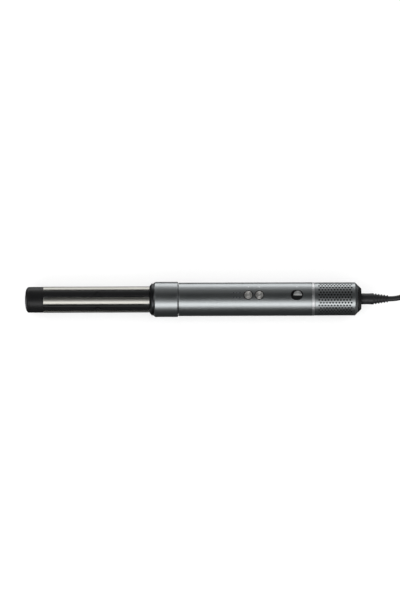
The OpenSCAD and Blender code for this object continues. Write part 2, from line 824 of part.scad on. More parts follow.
tip_plate();
tip_cap();
tip_screw();
barrel_core();
air_blades();
barrel_panels();
shoulder_ring();
coupling_collar();
coupling_hub();
coupling_seal();
nose_spigot();
grip_ring();
handle_shell();
inner_frame();
heater_shroud();
heater_cards();
heater_coil();
thermal_cutout();
motor_mount();
motor_housing();
motor_stator();
motor_bearings();
rotor_shaft();
impeller();
control_board();
board_screws();
tact_switches();
switch_body();
indicator_lights();
button_bezels();
airflow_button();
heat_button();
slide_bezel();
power_slider();
trim_ring();
filter_core();
filter_mesh();
filter_sleeve();
rear_cap();
swivel_cup();
power_leads();
cord_boot();
cord_lead();
cord_hank();
cord_tie();
cord_tail();
plug_relief();
plug_body();
plug_pins();
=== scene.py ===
"""Finished surfaces, materials, lights and camera of a corded hot-air curling iron.

The iron lies along X with its tip at -X and its cord at +X. A turn about the iron's axis is
measured from straight up towards -Y. Shapes are worked out in millimetres and angles in
radians, and a mesh is made in metres.
"""

import math

import bmesh
import bpy
import numpy as np
from bpy.props import FloatProperty, FloatVectorProperty, IntProperty, PointerProperty
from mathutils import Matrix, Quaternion, Vector


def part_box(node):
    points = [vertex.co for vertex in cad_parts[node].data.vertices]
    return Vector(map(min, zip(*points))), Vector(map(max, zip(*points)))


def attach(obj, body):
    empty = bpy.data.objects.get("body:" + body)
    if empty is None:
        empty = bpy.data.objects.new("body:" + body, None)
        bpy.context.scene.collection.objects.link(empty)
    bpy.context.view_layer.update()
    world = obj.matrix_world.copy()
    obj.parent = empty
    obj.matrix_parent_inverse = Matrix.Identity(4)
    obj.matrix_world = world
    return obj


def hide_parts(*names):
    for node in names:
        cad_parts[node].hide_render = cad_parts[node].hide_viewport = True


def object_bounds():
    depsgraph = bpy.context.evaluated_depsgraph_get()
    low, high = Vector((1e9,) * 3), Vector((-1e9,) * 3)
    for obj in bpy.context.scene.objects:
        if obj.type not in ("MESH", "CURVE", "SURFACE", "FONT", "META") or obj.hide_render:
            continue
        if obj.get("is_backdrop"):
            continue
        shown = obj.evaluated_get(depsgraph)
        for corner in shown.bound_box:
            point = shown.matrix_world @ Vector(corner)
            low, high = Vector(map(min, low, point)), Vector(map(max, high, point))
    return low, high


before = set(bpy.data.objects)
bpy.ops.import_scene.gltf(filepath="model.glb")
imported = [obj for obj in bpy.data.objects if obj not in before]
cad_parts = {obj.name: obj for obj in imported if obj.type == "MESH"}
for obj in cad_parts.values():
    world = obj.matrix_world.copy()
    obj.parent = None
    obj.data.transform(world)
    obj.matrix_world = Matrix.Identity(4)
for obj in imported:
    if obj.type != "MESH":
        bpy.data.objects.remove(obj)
CAD_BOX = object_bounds()

bl_info = {
    "name": "Hot-air curling iron",
    "version": (1, 0, 0),
    "blender": (4, 5, 0),
    "location": "3D View > Sidebar > Iron",
    "description": "Builds the finished surfaces of a corded hot-air curling iron",
    "category": "Add Mesh",
}

MM = 0.001
FULL_TURN = 2 * math.pi


def low_corner(node):
    """Lowest corner of a CAD node, in millimetres."""
    return np.array(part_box(node)[0]) / MM


def high_corner(node):
    """Highest corner of a CAD node, in millimetres."""
    return np.array(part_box(node)[1]) / MM


def middle(node):
    """Middle of a CAD node's box, in millimetres."""
    return (low_corner(node) + high_corner(node)) / 2


def span(node):
    """Axial start, axial end and outer radius of a CAD node turned about the axis."""
    low, high = low_corner(node), high_corner(node)
    return low[0], high[0], (high[1] - low[1]) / 2


AXIS_HEIGHT = middle("handle_shell")[2]
HANDLE_R = span("handle_shell")[2]

# Barrel: radius over the blades, their number, the first blade's and panel's turn, and the slot
# between a blade and a panel
BLADE_R = 16.0
BLADES = 5
BLADE_TURN = math.radians(21)
PANEL_TURN = math.radians(57)
SLOT = 1.3

# Controls: the lights' radius and their turn to each side, the inside and outside of a button's
# ring, and the disc of the slide switch
LIGHT_R = 0.75
LIGHT_TURN = math.radians(8.6)
BUTTON_RING_R = 4.83
BEZEL_R = 5.8
NUB_R = 5.7


# ---- sizes and colours that a user would change ----


def length(name, description, default):
    """A length in millimetres."""
    return FloatProperty(
        name=name, description=description, default=default, min=0, max=200, precision=2
    )


def angle(name, description, degrees):
    """An angle, given in degrees."""
    return FloatProperty(
        name=name, description=description, default=math.radians(degrees), subtype="ANGLE"
    )


def colour(name, description, default):
    """A surface colour."""
    return FloatVectorProperty(
        name=name, description=description, default=default, size=3, min=0, max=1,
        subtype="COLOR",
    )


class IronSizes(bpy.types.PropertyGroup):
    """Detail sizes of the finished pieces, in millimetres where no other unit is given"""

    blade_lean: angle("Blade lean", "How far each blade's face leans round the barrel", 3.0)
    blade_crown: FloatProperty(
        name="Blade crown", description="Curvature of a blade against the barrel's", default=1.3
    )
    blade_edge: length("Blade edge", "Rounding of the blades' long edges", 0.35)
    arrow_depth: length("Arrow depth", "Depth of the arrow heads in the panels", 0.5)
    hole_d: length("Hole diameter", "Diameter of a hole in the filter sleeve", 2.35)
    hole_pitch: length("Hole pitch", "Distance between holes along the sleeve", 3.73)
    hole_rows: IntProperty(
        name="Hole rows", description="Rows of holes round the sleeve, an even number",
        default=38, min=8, max=60,
    )
    row_holes: IntProperty(
        name="Holes in a row", description="Holes in the longer rows", default=11, min=2, max=11
    )
    button_crown: length("Button crown", "Height of the spun crown of a button", 0.4)
    cord_d: length("Cord diameter", "Diameter of the mains cord", 6.5)


class IronColours(bpy.types.PropertyGroup):
    """Colours of the finishes"""

    gunmetal: colour("Gunmetal", "Painted handle, collar and sleeve", (0.475, 0.5, 0.507))
    blade: colour("Blade metal", "Brushed blades of the barrel", (0.52, 0.51, 0.47))
    black: colour("Black plastic", "Tip cap, panels and rear cap", (0.006, 0.006, 0.0065))
    ring: colour("Dark ring", "Shoulder ring", (0.11, 0.113, 0.118))
    bright: colour("Bright trim", "Trim ring behind the handle", (0.82, 0.83, 0.84))
    button: colour("Button metal", "Spun faces of the round buttons", (0.93, 0.92, 0.89))
    cord: colour("Cord", "Jacket of the mains cord and plug", (0.016, 0.016, 0.018))


def sizes():
    """The user's sizes."""
    return bpy.context.scene.iron_sizes


def colours():
    """The user's colours."""
    return bpy.context.scene.iron_colours


# ---- surfaces ----


def grid_faces(rows, columns, close_rows=False, close_columns=False):
    """Quads of a grid of points, row by row, joined up past the last row or column on request."""
    row = np.arange(rows if close_rows else rows - 1)[:, None]
    column = np.arange(columns if close_columns else columns - 1)[None, :]
    next_row = (row + 1) % rows
    next_column = (column + 1) % columns
    corners = [row * columns + column, row * columns + next_column,
               next_row * columns + next_column, next_row * columns + column]
    return np.stack(corners, axis=-1).reshape(-1, 4)


def joined(*shapes):
    """One shape from several: their points one after another, their faces renumbered."""
    starts = np.cumsum([0] + [len(points) for points, _ in shapes])
    points = np.vstack([points for points, _ in shapes])
    faces = [face for (_, faces), start in zip(shapes, starts)
             for face in (np.asarray(faces) + start).tolist()]
    return points, faces


def around(x, radius, turn):
    """Point at distance x along the axis, at a radius and a turn: (x, -r sin t, axis + r cos t)."""
    x, radius, turn = np.broadcast_arrays(x, radius, turn)
    return np.stack([x, -radius * np.sin(turn), AXIS_HEIGHT + radius * np.cos(turn)], axis=-1)


def rounded(corners, steps=5):
    """Closed outline from corners (a, b, f): each corner becomes an arc of radius f that
    touches both of its sides, and f = 0 leaves it sharp."""
    points = np.array([corner[:2] for corner in corners], float)
    outline = []
    for i, (_, _, fillet) in enumerate(corners):
        corner = points[i]
        to_last = points[i - 1] - corner
        to_next = points[(i + 1) % len(points)] - corner
        if fillet <= 0:
            outline.append(corner[None])
            continue
        room = 0.49 * min(np.linalg.norm(to_last), np.linalg.norm(to_next))
        to_last = to_last / np.linalg.norm(to_last)
        to_next = to_next / np.linalg.norm(to_next)
        half = math.acos(np.clip(to_last @ to_next, -1, 1)) / 2
        reach = min(fillet / math.tan(half), room)
        radius = reach * math.tan(half)
        middle = (to_last + to_next) / np.linalg.norm(to_last + to_next)
        centre = corner + middle * radius / math.sin(half)
        start = corner + to_last * reach - centre
        end = corner + to_next * reach - centre
        first = math.atan2(start[1], start[0])
        sweep = (math.atan2(end[1], end[0]) - first + math.pi) % FULL_TURN - math.pi
        arc = first + sweep * np.linspace(0, 1, steps + 1)
        outline.append(centre + radius * np.c_[np.cos(arc), np.sin(arc)])
    return np.vstack(outline)


def turned(outline, segments=144):
    """Solid of revolution: each point (x, r) of the closed outline sweeps a circle of radius r
    about the iron's axis."""
    turn = np.linspace(0, FULL_TURN, segments, endpoint=False)
    points = around(outline[:, :1], outline[:, 1:], turn).reshape(-1, 3)
    return points, grid_faces(len(outline), segments, True, True)


def spun(outline, centre, segments=64):
    """Solid of revolution about a vertical line: each point (r, z) of the closed outline sweeps
    the circle centre + (r cos t, r sin t), with z above the iron's axis."""
    turn = np.linspace(0, FULL_TURN, segments, endpoint=False)
    radius, height = outline[:, :1], outline[:, 1:]
    x, y, z = np.broadcast_arrays(
        centre[0] + radius * np.cos(turn), centre[1] + radius * np.sin(turn), AXIS_HEIGHT + height
    )
    points = np.stack([x, y, z], axis=-1).reshape(-1, 3)
    return points, grid_faces(len(outline), segments, True, True)


def lofted(rings):
    """Closed skin over rings of points, an array [ring, point, xyz], with a fan at each end."""
    count, size = rings.shape[:2]
    ends = rings[[0, -1]].mean(axis=1, keepdims=True)
    start = np.repeat(ends[:1], size, axis=1)
    finish = np.repeat(ends[1:], size, axis=1)
    points = np.vstack([start, rings, finish]).reshape(-1, 3)
    return points, grid_faces(count + 2, size, False, True)


def swept(path, radius, sides=16):
    """Round tube along a path: a circle of the radius stands square to the path at each point,
    with its first direction level."""
    way = np.gradient(path, axis=0)
    way /= np.linalg.norm(way, axis=1, keepdims=True)
    level = np.cross(way, [0, 0, 1])
    level /= np.linalg.norm(level, axis=1, keepdims=True)
    above = np.cross(level, way)
    turn = np.linspace(0, FULL_TURN, sides, endpoint=False)[:, None]
    ring = np.cos(turn) * level[:, None] + np.sin(turn) * above[:, None]
    radius = np.broadcast_to(radius, len(path))[:, None, None]
    return lofted(path[:, None] + radius * ring)


def walled(outer, inner, faces):
    """Closed wall between two sheets with the same faces: a quad joins them along each open
    edge."""
    edges = np.stack([faces, np.roll(faces, -1, axis=1)], axis=-1).reshape(-1, 2)
    _, first, uses = np.unique(np.sort(edges, axis=1), axis=0, return_index=True,
                               return_counts=True)
    rim = edges[first[uses == 1]]
    back = len(outer)
    sides = np.c_[rim[:, 1], rim[:, 0], rim[:, 0] + back, rim[:, 1] + back]
    return np.vstack([outer, inner]), np.vstack([faces, faces[:, ::-1] + back, sides])


def filled(marks, step):
    """The sorted marks, with evenly spaced values between neighbours more than a step apart."""
    marks = np.unique(np.round(marks, 4))
    runs = [np.linspace(a, b, max(1, math.ceil((b - a) / step)), endpoint=False)
            for a, b in zip(marks[:-1], marks[1:])]
    return np.concatenate(runs + [marks[-1:]])


def smooth_step(value):
    """0 below 0, 1 above 1, and 3v² - 2v³ between."""
    value = np.clip(value, 0, 1)
    return value * value * (3 - 2 * value)


def edge_drop(x, start, end, fillet):
    """How far a surface of revolution sinks at its two ends, as quarter circles."""
    depth = np.clip(fillet - np.minimum(x - start, end - x), 0, fillet)
    return fillet - np.sqrt(np.maximum(fillet ** 2 - depth ** 2, 0))


def add_piece(name, shape, body, slot, nodes=(), material=None, crease=38):
    """Makes the object: merges doubles, turns faces outwards, shades smooth up to the crease
    angle, ties it to its CAD body and hides the CAD nodes that it stands for. Its material is
    the slot's own finish where no other is given."""
    points, faces = shape
    mesh = bpy.data.meshes.new(name)
    mesh.from_pydata((np.asarray(points) * MM).tolist(), [], np.asarray(faces).tolist())
    work = bmesh.new()
    work.from_mesh(mesh)
    bmesh.ops.remove_doubles(work, verts=work.verts, dist=2e-7)
    bmesh.ops.recalc_face_normals(work, faces=work.faces)
    work.to_mesh(mesh)
    work.free()
    mesh.shade_smooth()
    mesh.set_sharp_from_angle(angle=math.radians(crease))
    mesh.materials.append(material or finish_for(slot))
    piece = bpy.data.objects.new(name, mesh)
    bpy.context.scene.collection.objects.link(piece)
    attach(piece, body)
    if nodes:
        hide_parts(*nodes)
    return piece


# ---- shader maths ----


class Value:
    """A number that varies over a surface; arithmetic on it adds Math nodes."""

    def __init__(self, recipe, socket):
        self.recipe = recipe
        self.socket = socket

    def math(self, operation, *numbers):
        """A Math node on these numbers."""
        return self.recipe.node("ShaderNodeMath", {"operation": operation},
                                dict(enumerate(numbers)))

    def sine(self):
        """The sine of the value."""
        return self.math("SINE", self)

    def __add__(self, other):
        return self.math("ADD", self, other)

    def __sub__(self, other):
        return self.math("SUBTRACT", self, other)

    def __mul__(self, other):
        return self.math("MULTIPLY", self, other)

    def __rsub__(self, other):
        return self.math("SUBTRACT", other, self)

    def __lt__(self, other):
        return self.math("LESS_THAN", self, other)

    def __gt__(self, other):
        return self.math("GREATER_THAN", self, other)

    __radd__ = __add__
    __rmul__ = __mul__

    def stepped(self, low, high):
        """0 where the value is low, 1 where it is high, and a smooth change between."""
        return self.recipe.node("ShaderNodeMapRange", {"interpolation_type": "SMOOTHSTEP"},
                                {"Value": self, "From Min": low, "From Max": high})


class Recipe:
    """A material under construction, with its Principled shader."""

    def __init__(self, name, **sockets):
        self.material = bpy.data.materials.new(name)
        self.material.use_nodes = True
        self.nodes = self.material.node_tree.nodes
        self.links = self.material.node_tree.links
        self.shader = self.nodes["Principled BSDF"]
        self.place = self.node("ShaderNodeTexCoord", {}, {}, "Object")
        self.put(self.shader, {key.replace("_", " "): value for key, value in sockets.items()})

    def put(self, node, inputs):
        """Sets or links sockets of a node."""
        for key, value in inputs.items():
            socket = node.inputs[key]
            if isinstance(value, Value):
                self.links.new(value.socket, socket)
            elif socket.type == "RGBA" and len(value) == 3:
                socket.default_value = (*value, 1)
            else:
                socket.default_value = value

    def node(self, kind, settings, inputs, output=0):
        """Adds a node: its settings first, then its sockets; gives one of its outputs."""
        node = self.nodes.new(kind)
        for key, value in settings.items():
            setattr(node, key, value)
        self.put(node, inputs)
        return Value(self, node.outputs[output])

    def vector(self, operation, first, second=(0, 0, 0), output=0):
        """A Vector Math node on one or two vectors."""
        return self.node("ShaderNodeVectorMath", {"operation": operation},
                         {0: first, 1: second}, output)

    def parts(self, vector):
        """The three parts of a vector."""
        node = self.nodes.new("ShaderNodeSeparateXYZ")
        self.links.new(vector.socket, node.inputs[0])
        return [Value(self, socket) for socket in node.outputs]

    def drawn_out(self, scale, detail):
        """Soft noise of that many cells to the metre along each axis."""
        place = self.node("ShaderNodeMapping", {}, {"Vector": self.place, "Scale": scale})
        return self.noise(1.0, detail, place)

    def noise(self, scale, detail=3, vector=None):
        """Soft noise of that many cells to the metre, from 0 to 1."""
        return self.node("ShaderNodeTexNoise", {},
                         {"Vector": vector or self.place, "Scale": scale, "Detail": detail})

    def mixed(self, factor, first, second):
        """A colour between two colours."""
        return self.node("ShaderNodeMix", {"data_type": "RGBA"},
                         {0: factor, 6: first, 7: second}, 2)

    def varied(self, base, amount, factor):
        """The base colour, made darker and lighter by a factor from 0 to 1."""
        low = [channel * (1 - amount) for channel in base]
        high = [min(1, channel * (1 + amount)) for channel in base]
        return self.mixed(factor, low, high)

    def bump(self, height, distance, strength=1.0):
        """A normal from a height that spans 0 to 1 over that many metres."""
        return self.node("ShaderNodeBump", {},
                         {"Height": height, "Distance": distance, "Strength": strength})

    def finish(self, **sockets):
        """Links the shader's varying sockets and returns the material."""
        self.put(self.shader, {key.replace("_", " "): value for key, value in sockets.items()})
        return self.material


def metal_paint(name, base, rough=0.33):
    """Satin metallic paint: fine flakes in the colour and a faint orange-peel."""
    recipe = Recipe(name, Metallic=1.0)
    flakes = recipe.noise(5200, 2)
    cloud = recipe.noise(60, 3)
    return recipe.finish(
        Base_Color=recipe.varied(base, 0.16, flakes * 0.7 + cloud * 0.3),
        Roughness=cloud * 0.05 + flakes * 0.04 + (rough - 0.045),
        Normal=recipe.bump(recipe.noise(1500, 2), 0.000012),
    )


def brushed_metal(name, base, rough=0.3):
    """Metal brushed along X: noise drawn out along the strokes."""
    recipe = Recipe(name, Metallic=1.0)
    strokes = recipe.drawn_out((14, 5200, 5200), 4)
    broad = recipe.drawn_out((4, 900, 900), 2)
    return recipe.finish(
        Base_Color=recipe.varied(base, 0.14, strokes * 0.6 + broad * 0.4),
        Roughness=strokes * 0.12 + (rough - 0.06),
        Normal=recipe.bump(strokes, 0.000002, 0.5),
    )


def moulded(name, base, rough, grain=2400, depth=0.00003, gloss=0.5):
    """Moulded plastic: spark-eroded grain, uneven gloss and a slight mottle."""
    recipe = Recipe(name, Specular_IOR_Level=gloss)
    texture = recipe.noise(grain, 3)
    cloud = recipe.noise(140, 3)
    return recipe.finish(
        Base_Color=recipe.varied(base, 0.22, cloud * 0.5 + texture * 0.5),
        Roughness=cloud * 0.1 + texture * 0.06 + (rough - 0.08),
        Normal=recipe.bump(texture, depth, 0.8),
    )


def polished(name, base, rough):
    """Bright plated metal with faint wiping marks."""
    recipe = Recipe(name, Metallic=1.0)
    wipe = recipe.drawn_out((240, 90, 900), 4)
    return recipe.finish(
        Base_Color=recipe.varied(base, 0.04, wipe),
        Roughness=wipe * 0.08 + rough,
        Normal=recipe.bump(wipe, 0.000003, 0.5),
    )


def spun_metal(name, base, centre):
    """Metal faced on a lathe: fine rings about a vertical line through the centre, whose gloss
    spreads square to the rings."""
    recipe = Recipe(name, Metallic=1.0, Anisotropic=0.92, Anisotropic_Rotation=0.25)
    flat = recipe.vector("MULTIPLY", recipe.vector("SUBTRACT", recipe.place, centre), (1, 1, 0))
    away = recipe.vector("LENGTH", flat, output="Value")
    rings = (away * 34000).sine()
    chatter = recipe.noise(3000, 2)
    return recipe.finish(
        Base_Color=recipe.varied(base, 0.06, rings * 0.35 + chatter * 0.3 + 0.35),
        Roughness=chatter * 0.1 + 0.55,
        Normal=recipe.bump(rings * 0.5 + chatter * 0.2, 0.000001),
    )


def woven(name, base, thread, radius):
    """Square weave with that many threads to the metre along X and round the axis."""
    recipe = Recipe(name)
    along, side, up = recipe.parts(recipe.place)
    across = side.math("ARCTAN2", side, up - AXIS_HEIGHT * MM)
    warp = (along * (thread * FULL_TURN)).sine()
    weft = (across * round(thread * radius * MM * FULL_TURN)).sine()
    height = warp.math("MAXIMUM", warp, weft)
    # Painted shade: the gaps between the threads are painted much darker than the threads
    gap = [channel * 0.15 for channel in base]
    return recipe.finish(
        Base_Color=recipe.mixed(height.stepped(-0.4, 0.6), gap, base),
        Roughness=recipe.noise(900, 2) * 0.2 + 0.8,
        Normal=recipe.bump(height * 0.5 + 0.5, 0.0001),
    )


def circuit_board(name):
    """Green solder mask over copper tracks: stripes along the board broken by cross links."""
    recipe = Recipe(name)
    along, across, _ = recipe.parts(recipe.place)
    lanes = (across * 4200).sine()
    links = (along * 900 + across * 310).sine()
    tracks = (lanes > 0.35) * (links > -0.6)
    return recipe.finish(
        Base_Color=recipe.mixed(tracks, (0.012, 0.09, 0.035), (0.03, 0.16, 0.06)),
        Roughness=recipe.noise(700, 2) * 0.15 + 0.3,
        Normal=recipe.bump(tracks, 0.00003, 0.8),
    )


def wound_wire(name, base, turns):
    """Enamelled winding: that many turns to the metre, laid side by side round the axis."""
    recipe = Recipe(name, Metallic=0.9)
    # Painted shade and highlight: the colour follows the bump's wave, darker in the grooves between
    # turns and lighter on their crowns
    wave = (recipe.parts(recipe.place)[0] * (turns * FULL_TURN)).sine() * 0.5 + 0.5
    return recipe.finish(
        Base_Color=recipe.varied(base, 0.3, wave),
        Roughness=recipe.noise(1200, 2) * 0.15 + 0.28,
        Normal=recipe.bump(wave, 0.0001),
    )


def cord_jacket(name, base):
    """Extruded soft jacket: dust-fine grain and scuffs."""
    recipe = Recipe(name)
    grain = recipe.noise(2600, 3)
    scuff = recipe.noise(240, 5).stepped(0.58, 0.8)
    return recipe.finish(
        Base_Color=recipe.varied(base, 0.5, scuff * 0.6 + grain * 0.4),
        Roughness=scuff * 0.14 + grain * 0.08 + 0.36,
        Normal=recipe.bump(grain, 0.00002, 0.7),
    )


_made = {}


def finish_for(name):
    """The shared material of that name, made when it is first asked for."""
    if name in _made:
        return _made[name]
    tint = colours()
    makers = {
        "gunmetal": lambda: metal_paint("gunmetal_paint", tint.gunmetal),
        "blade_metal": lambda: brushed_metal("blade_brushed", tint.blade),
        "black_plastic": lambda: moulded("black_heatproof", tint.black, 0.36, gloss=0.36),
        "dark_ring": lambda: metal_paint("shoulder_dark", tint.ring, 0.3),
        "bright_trim": lambda: polished("trim_bright", tint.bright, 0.36),
        "inner_plastic": lambda: moulded("inner_nylon", (0.045, 0.046, 0.05), 0.5, 1600, 0.00005),
        "steel": lambda: brushed_metal("plain_steel", (0.62, 0.62, 0.63), 0.32),
        "seal_rubber": lambda: moulded("seal_silicone", (0.24, 0.035, 0.03), 0.55, 1100, 0.00004),
        "spring_bronze": lambda: polished("spring_bronze", (0.62, 0.42, 0.2), 0.22),
        "mica": lambda: moulded("mica_sheet", (0.6, 0.55, 0.42), 0.35, 500, 0.00008),
        "resistance_wire": lambda: wound_wire("resistance_wire", (0.42, 0.38, 0.36), 900),
        "copper": lambda: wound_wire("motor_winding", (0.55, 0.24, 0.1), 1300),
        "board_green": lambda: circuit_board("board_mask"),
        "light_lens": lambda: moulded("light_lens", (0.035, 0.04, 0.046), 0.2, 900, 0.00001),
        "mesh_black": lambda: woven("filter_cloth", (0.008, 0.008, 0.009), 1500,
                                    span("filter_mesh")[2]),
        "cord_black": lambda: cord_jacket("cord_jacket", tint.cord),
        "tie_black": lambda: moulded("tie_fabric", (0.014, 0.014, 0.014), 0.7, 1800, 0.0001),
        "lead_red": lambda: moulded("lead_sleeve", (0.28, 0.03, 0.025), 0.4, 1500, 0.00002),
        "print_white": lambda: moulded("printed_mark", (0.75, 0.76, 0.77), 0.45, 2000, 0.00001),
        "pin_metal": lambda: polished("contact_nickel", (0.72, 0.7, 0.66), 0.18),
    }
    _made[name] = makers[name]()
    return _made[name]


# ---- barrel ----


def strip(start, end, turn, width, radius, inner, lean, crown, edge, dent=None):
    """One strip of the barrel's wall. At an offset p from its middle turn its face lies at
    r = radius - radius (lean p + (crown - 1) p² / 2), less a rounding at the long edges and at
    the ends, less a dent(x, arc) where there is one. The back lies at the inner radius."""
    offset = filled([-width / 2, width / 2], 0.028)
    rim = np.radians([0, 0.25, 0.6, 1.1])
    offset = np.unique(np.concatenate([offset, -width / 2 + rim, width / 2 - rim]))
    ends = [start, start + 0.07, start + 0.2, end - 0.2, end - 0.07, end]
    fine = [] if dent is None else np.arange(dent.start, dent.stop, 0.22)
    x = np.unique(np.concatenate([filled(ends, 3.0), fine]))[:, None]
    p = offset[None, :]
    high = -(lean * p + (crown - 1) * p * p / 2)
    face = radius * (1 + high - high.max())
    side = np.clip(edge - (width / 2 - np.abs(p)) * radius, 0, edge)
    face = face - (edge - np.sqrt(np.maximum(edge ** 2 - side ** 2, 0)))
    face = face - edge_drop(x, start, end, 0.2)
    if dent is not None:
        face = face - dent.depth(x, -p * radius)
    outer = around(x, face, turn + p).reshape(-1, 3)
    back = around(x, inner + 0 * p, turn + p).reshape(-1, 3)
    return walled(outer, back, grid_faces(len(x), offset.size))


class ArrowDent:
    """A chevron sunk into a panel that points round the barrel: the depth falls off across the
    distance to its two arms."""

    def __init__(self, x, depth):
        half_width = 5.4
        self.x = x
        self.sunk = depth
        self.start = x - half_width
        self.stop = x + half_width

    def depth(self, x, arc):
        """Depth at a place on the panel, from the distance to the nearer arm."""
        lean = math.radians(42)
        point, arm, half_stroke, slope = 2.2, 6.2, 0.55, 0.3
        across = np.abs(x - self.x)
        down = point - arc
        along = np.clip(across * math.sin(lean) + down * math.cos(lean), 0, arm)
        gap = np.hypot(across - along * math.sin(lean), down - along * math.cos(lean))
        return self.sunk * (1 - smooth_step((gap - half_stroke) / slope))


def barrel_strips(first_turn, radius, lean, crown, edge, dent=None):
    """Strips spaced evenly round the barrel between the cap and the shoulder."""
    start = span("tip_cap")[1] + 0.15
    end = span("shoulder_ring")[0] - 0.15
    width = math.pi / BLADES - math.asin(SLOT / BLADE_R)
    inner = span("barrel_core")[2] + 0.05
    return joined(*(
        strip(start, end, first_turn + i * FULL_TURN / BLADES, width, radius, inner, lean,
              crown, edge, dent)
        for i in range(BLADES)
    ))


def panel_with_painted_arrow_shade(base, dent, radius):
    """Satin black for the panels, and painted shade on the floor of each arrow: a flat black
    without reflections where the distance from the axis is below the dent's edge."""
    recipe = Recipe("panel_satin_painted_arrow_shade", Specular_IOR_Level=0.5)
    centre = (dent.x * MM, 0, AXIS_HEIGHT * MM)
    along, across, up = recipe.parts(recipe.vector("SUBTRACT", recipe.place, centre))
    square = across * across + up * up
    away = square.math("SQRT", square)
    near = along.math("ABSOLUTE", along) < (dent.stop - dent.x) * MM
    # Painted shade: the floor of each arrow is painted a flat black without reflections, as if in
    # shadow
    floor = (away < (radius - 0.6 * dent.sunk) * MM) * near
    texture = recipe.noise(3000, 3)
    satin = recipe.varied(base, 0.22, texture)
    return recipe.finish(
        Base_Color=recipe.mixed(floor, satin, (0.0005, 0.0005, 0.0005)),
        Metallic=floor * 1.0,
        Roughness=texture * 0.06 + 0.2,
        Normal=recipe.bump(texture, 0.00001, 0.6),
    )


def tip_cap_outline():
    """Domed cap: a quarter ellipse from the end plate to the wall, a turned groove behind the
    dome, and a lip that laps over the strips."""
    start, end, radius = span("tip_cap")
    rim = span("tip_plate")[2] + 0.3
    sweep = np.radians(np.linspace(0, 90, 15))
    dome = np.c_[start + 4.5 * (1 - np.cos(sweep)), rim + (radius - rim) * np.sin(sweep)]
    groove = start + 5.4
    wall = rounded([
        (groove, radius, 0.1), (groove + 0.25, radius - 0.35, 0.1), (groove + 0.55, radius, 0.1),
        (end, radius, 0.15), (end, radius - 0.6, 0), (end - 3.3, radius - 0.6, 0),
        (end - 3.3, radius - 1.1, 0), (start + 9.5, radius - 1.1, 0),
        (start + 5.6, radius - 4.5, 0), (start + 1.8, rim - 0.2, 0), (start + 0.2, rim - 0.2, 0),
    ], 3)
    return np.vstack([dome, wall])


def tip_plate_outline():
    """Shallow turned disc with a soft edge and three fine steps."""
    start, end, radius = span("tip_plate")
    return rounded([
        (start + 0.05, 0, 0), (start + 0.05, 1.6, 0.1), (start + 0.2, 1.8, 0.1),
        (start + 0.1, 4.6, 0.1), (start + 0.3, 4.9, 0.1), (start + 0.25, radius - 1.2, 0.5),
        (start + 1, radius, 0.3), (end, radius, 0.1), (end, 0, 0),
    ], 4)


class IRON_OT_barrel(bpy.types.Operator):
    """Builds the tip, the blades and the panels of the barrel"""

    bl_idname = "iron.barrel"
    bl_label = "Barrel"

    def execute(self, context):
        detail = sizes()
        panel_r = span("tip_cap")[2]
        dent = ArrowDent((span("tip_cap")[1] + span("shoulder_ring")[0]) / 2 + 1.7,
                         detail.arrow_depth)
        blades = barrel_strips(BLADE_TURN, BLADE_R, detail.blade_lean, detail.blade_crown,
                               detail.blade_edge)
        panels = barrel_strips(PANEL_TURN, panel_r, 0, 1, 0.9, dent)
        add_piece("barrel_blades", blades, "barrel", "blade_metal", ["air_blades"])
        add_piece("barrel_dark_panels", panels, "barrel", "black_plastic", ["barrel_panels"],
                  panel_with_painted_arrow_shade(colours().black, dent, panel_r))
        add_piece("barrel_tip_cap", turned(tip_cap_outline()), "barrel", "black_plastic",
                  ["tip_cap"])
        add_piece("barrel_tip_plate", turned(tip_plate_outline(), 96), "barrel", "dark_ring",
                  ["tip_plate"])
        return {"FINISHED"}


# ---- coupling and handle ----


def shoulder_outline():
    """Chamfered ring that widens from the barrel to the collar, with a fine groove."""
    start, end, radius = span("shoulder_ring")
    inner = span("barrel_core")[2] + 0.05
    land = radius - 0.7
    return rounded([
        (start, inner + 0.6, 0), (start, BLADE_R + 0.4, 0.15), (start + 2.8, land, 0.25),
        (start + 3.4, land, 0.1), (start + 3.65, land - 0.9, 0.1), (start + 4.15, land - 0.9, 0.1),
        (start + 4.5, land + 0.2, 0.15), (end, radius, 0.2), (end, inner, 0),
    ], 4)


def collar_outline():
    """Straight metal sleeve with a bright bevel at each end."""
    start, end, radius = span("coupling_collar")
    return rounded([
        (start, radius - 1.5, 0), (start, radius - 1, 0.15), (start + 1, radius, 0.8),
        (end - 0.8, radius, 0.2), (end, radius - 0.8, 0.15), (end, radius - 1.5, 0),
    ], 4)


def nose_outline():
    """Nose of the handle: a lead-in, a groove for the grip ring and a seat in the shell."""
    start, end, seat = span("nose_spigot")
    nose = span("grip_ring")[2] + 0.1
    groove = span("grip_ring")[0] - 0.1
    front = span("handle_shell")[0] + 0.2
    return rounded([
        (start, nose - 2.4, 0.2), (start, nose, 0.6), (groove, nose, 0.1),
        (groove, nose - 1, 0.1), (groove + 2.6, nose - 1, 0.1), (groove + 2.6, nose, 0.1),
        (front, nose, 0.1), (front, seat, 0.1), (end, seat, 0), (end, nose - 2.4, 0),
    ], 4)


class Opening:
    """A round or straight-sided opening through the shell, seen from above: its centre, corner
    radius and half the length of its straight part."""

    def __init__(self, x, y, radius, straight=0.0):
        self.x = x
        self.y = y
        self.radius = radius
        self.straight = straight
        self.near = radius * 0.8
        self.far = radius * 1.125 + (0.4 if radius < 2 else 0)

    def local(self, x, y):
        """Offsets from the nearer end of the straight part, and the larger of the two."""
        across = x - self.x
        across = across - np.clip(across, -self.straight, self.straight)
        up = y - self.y
        return across, up, np.maximum(np.abs(across), np.abs(up))

    def pulled(self, x, y):
        """Draws the grid in: the square at the near distance becomes the opening's round edge,
        the square at the far distance stays, and points between move in proportion."""
        across, up, size = self.local(x, y)
        away = np.maximum(np.hypot(across, up), 1e-9)
        share = np.clip((size - self.near) / (self.far - self.near), 0, 1)
        scale = share + (1 - share) * self.radius / away
        inside = size < self.far - 1e-6
        return (np.where(inside, x + across * (scale - 1), x),
                np.where(inside, y + up * (scale - 1), y))


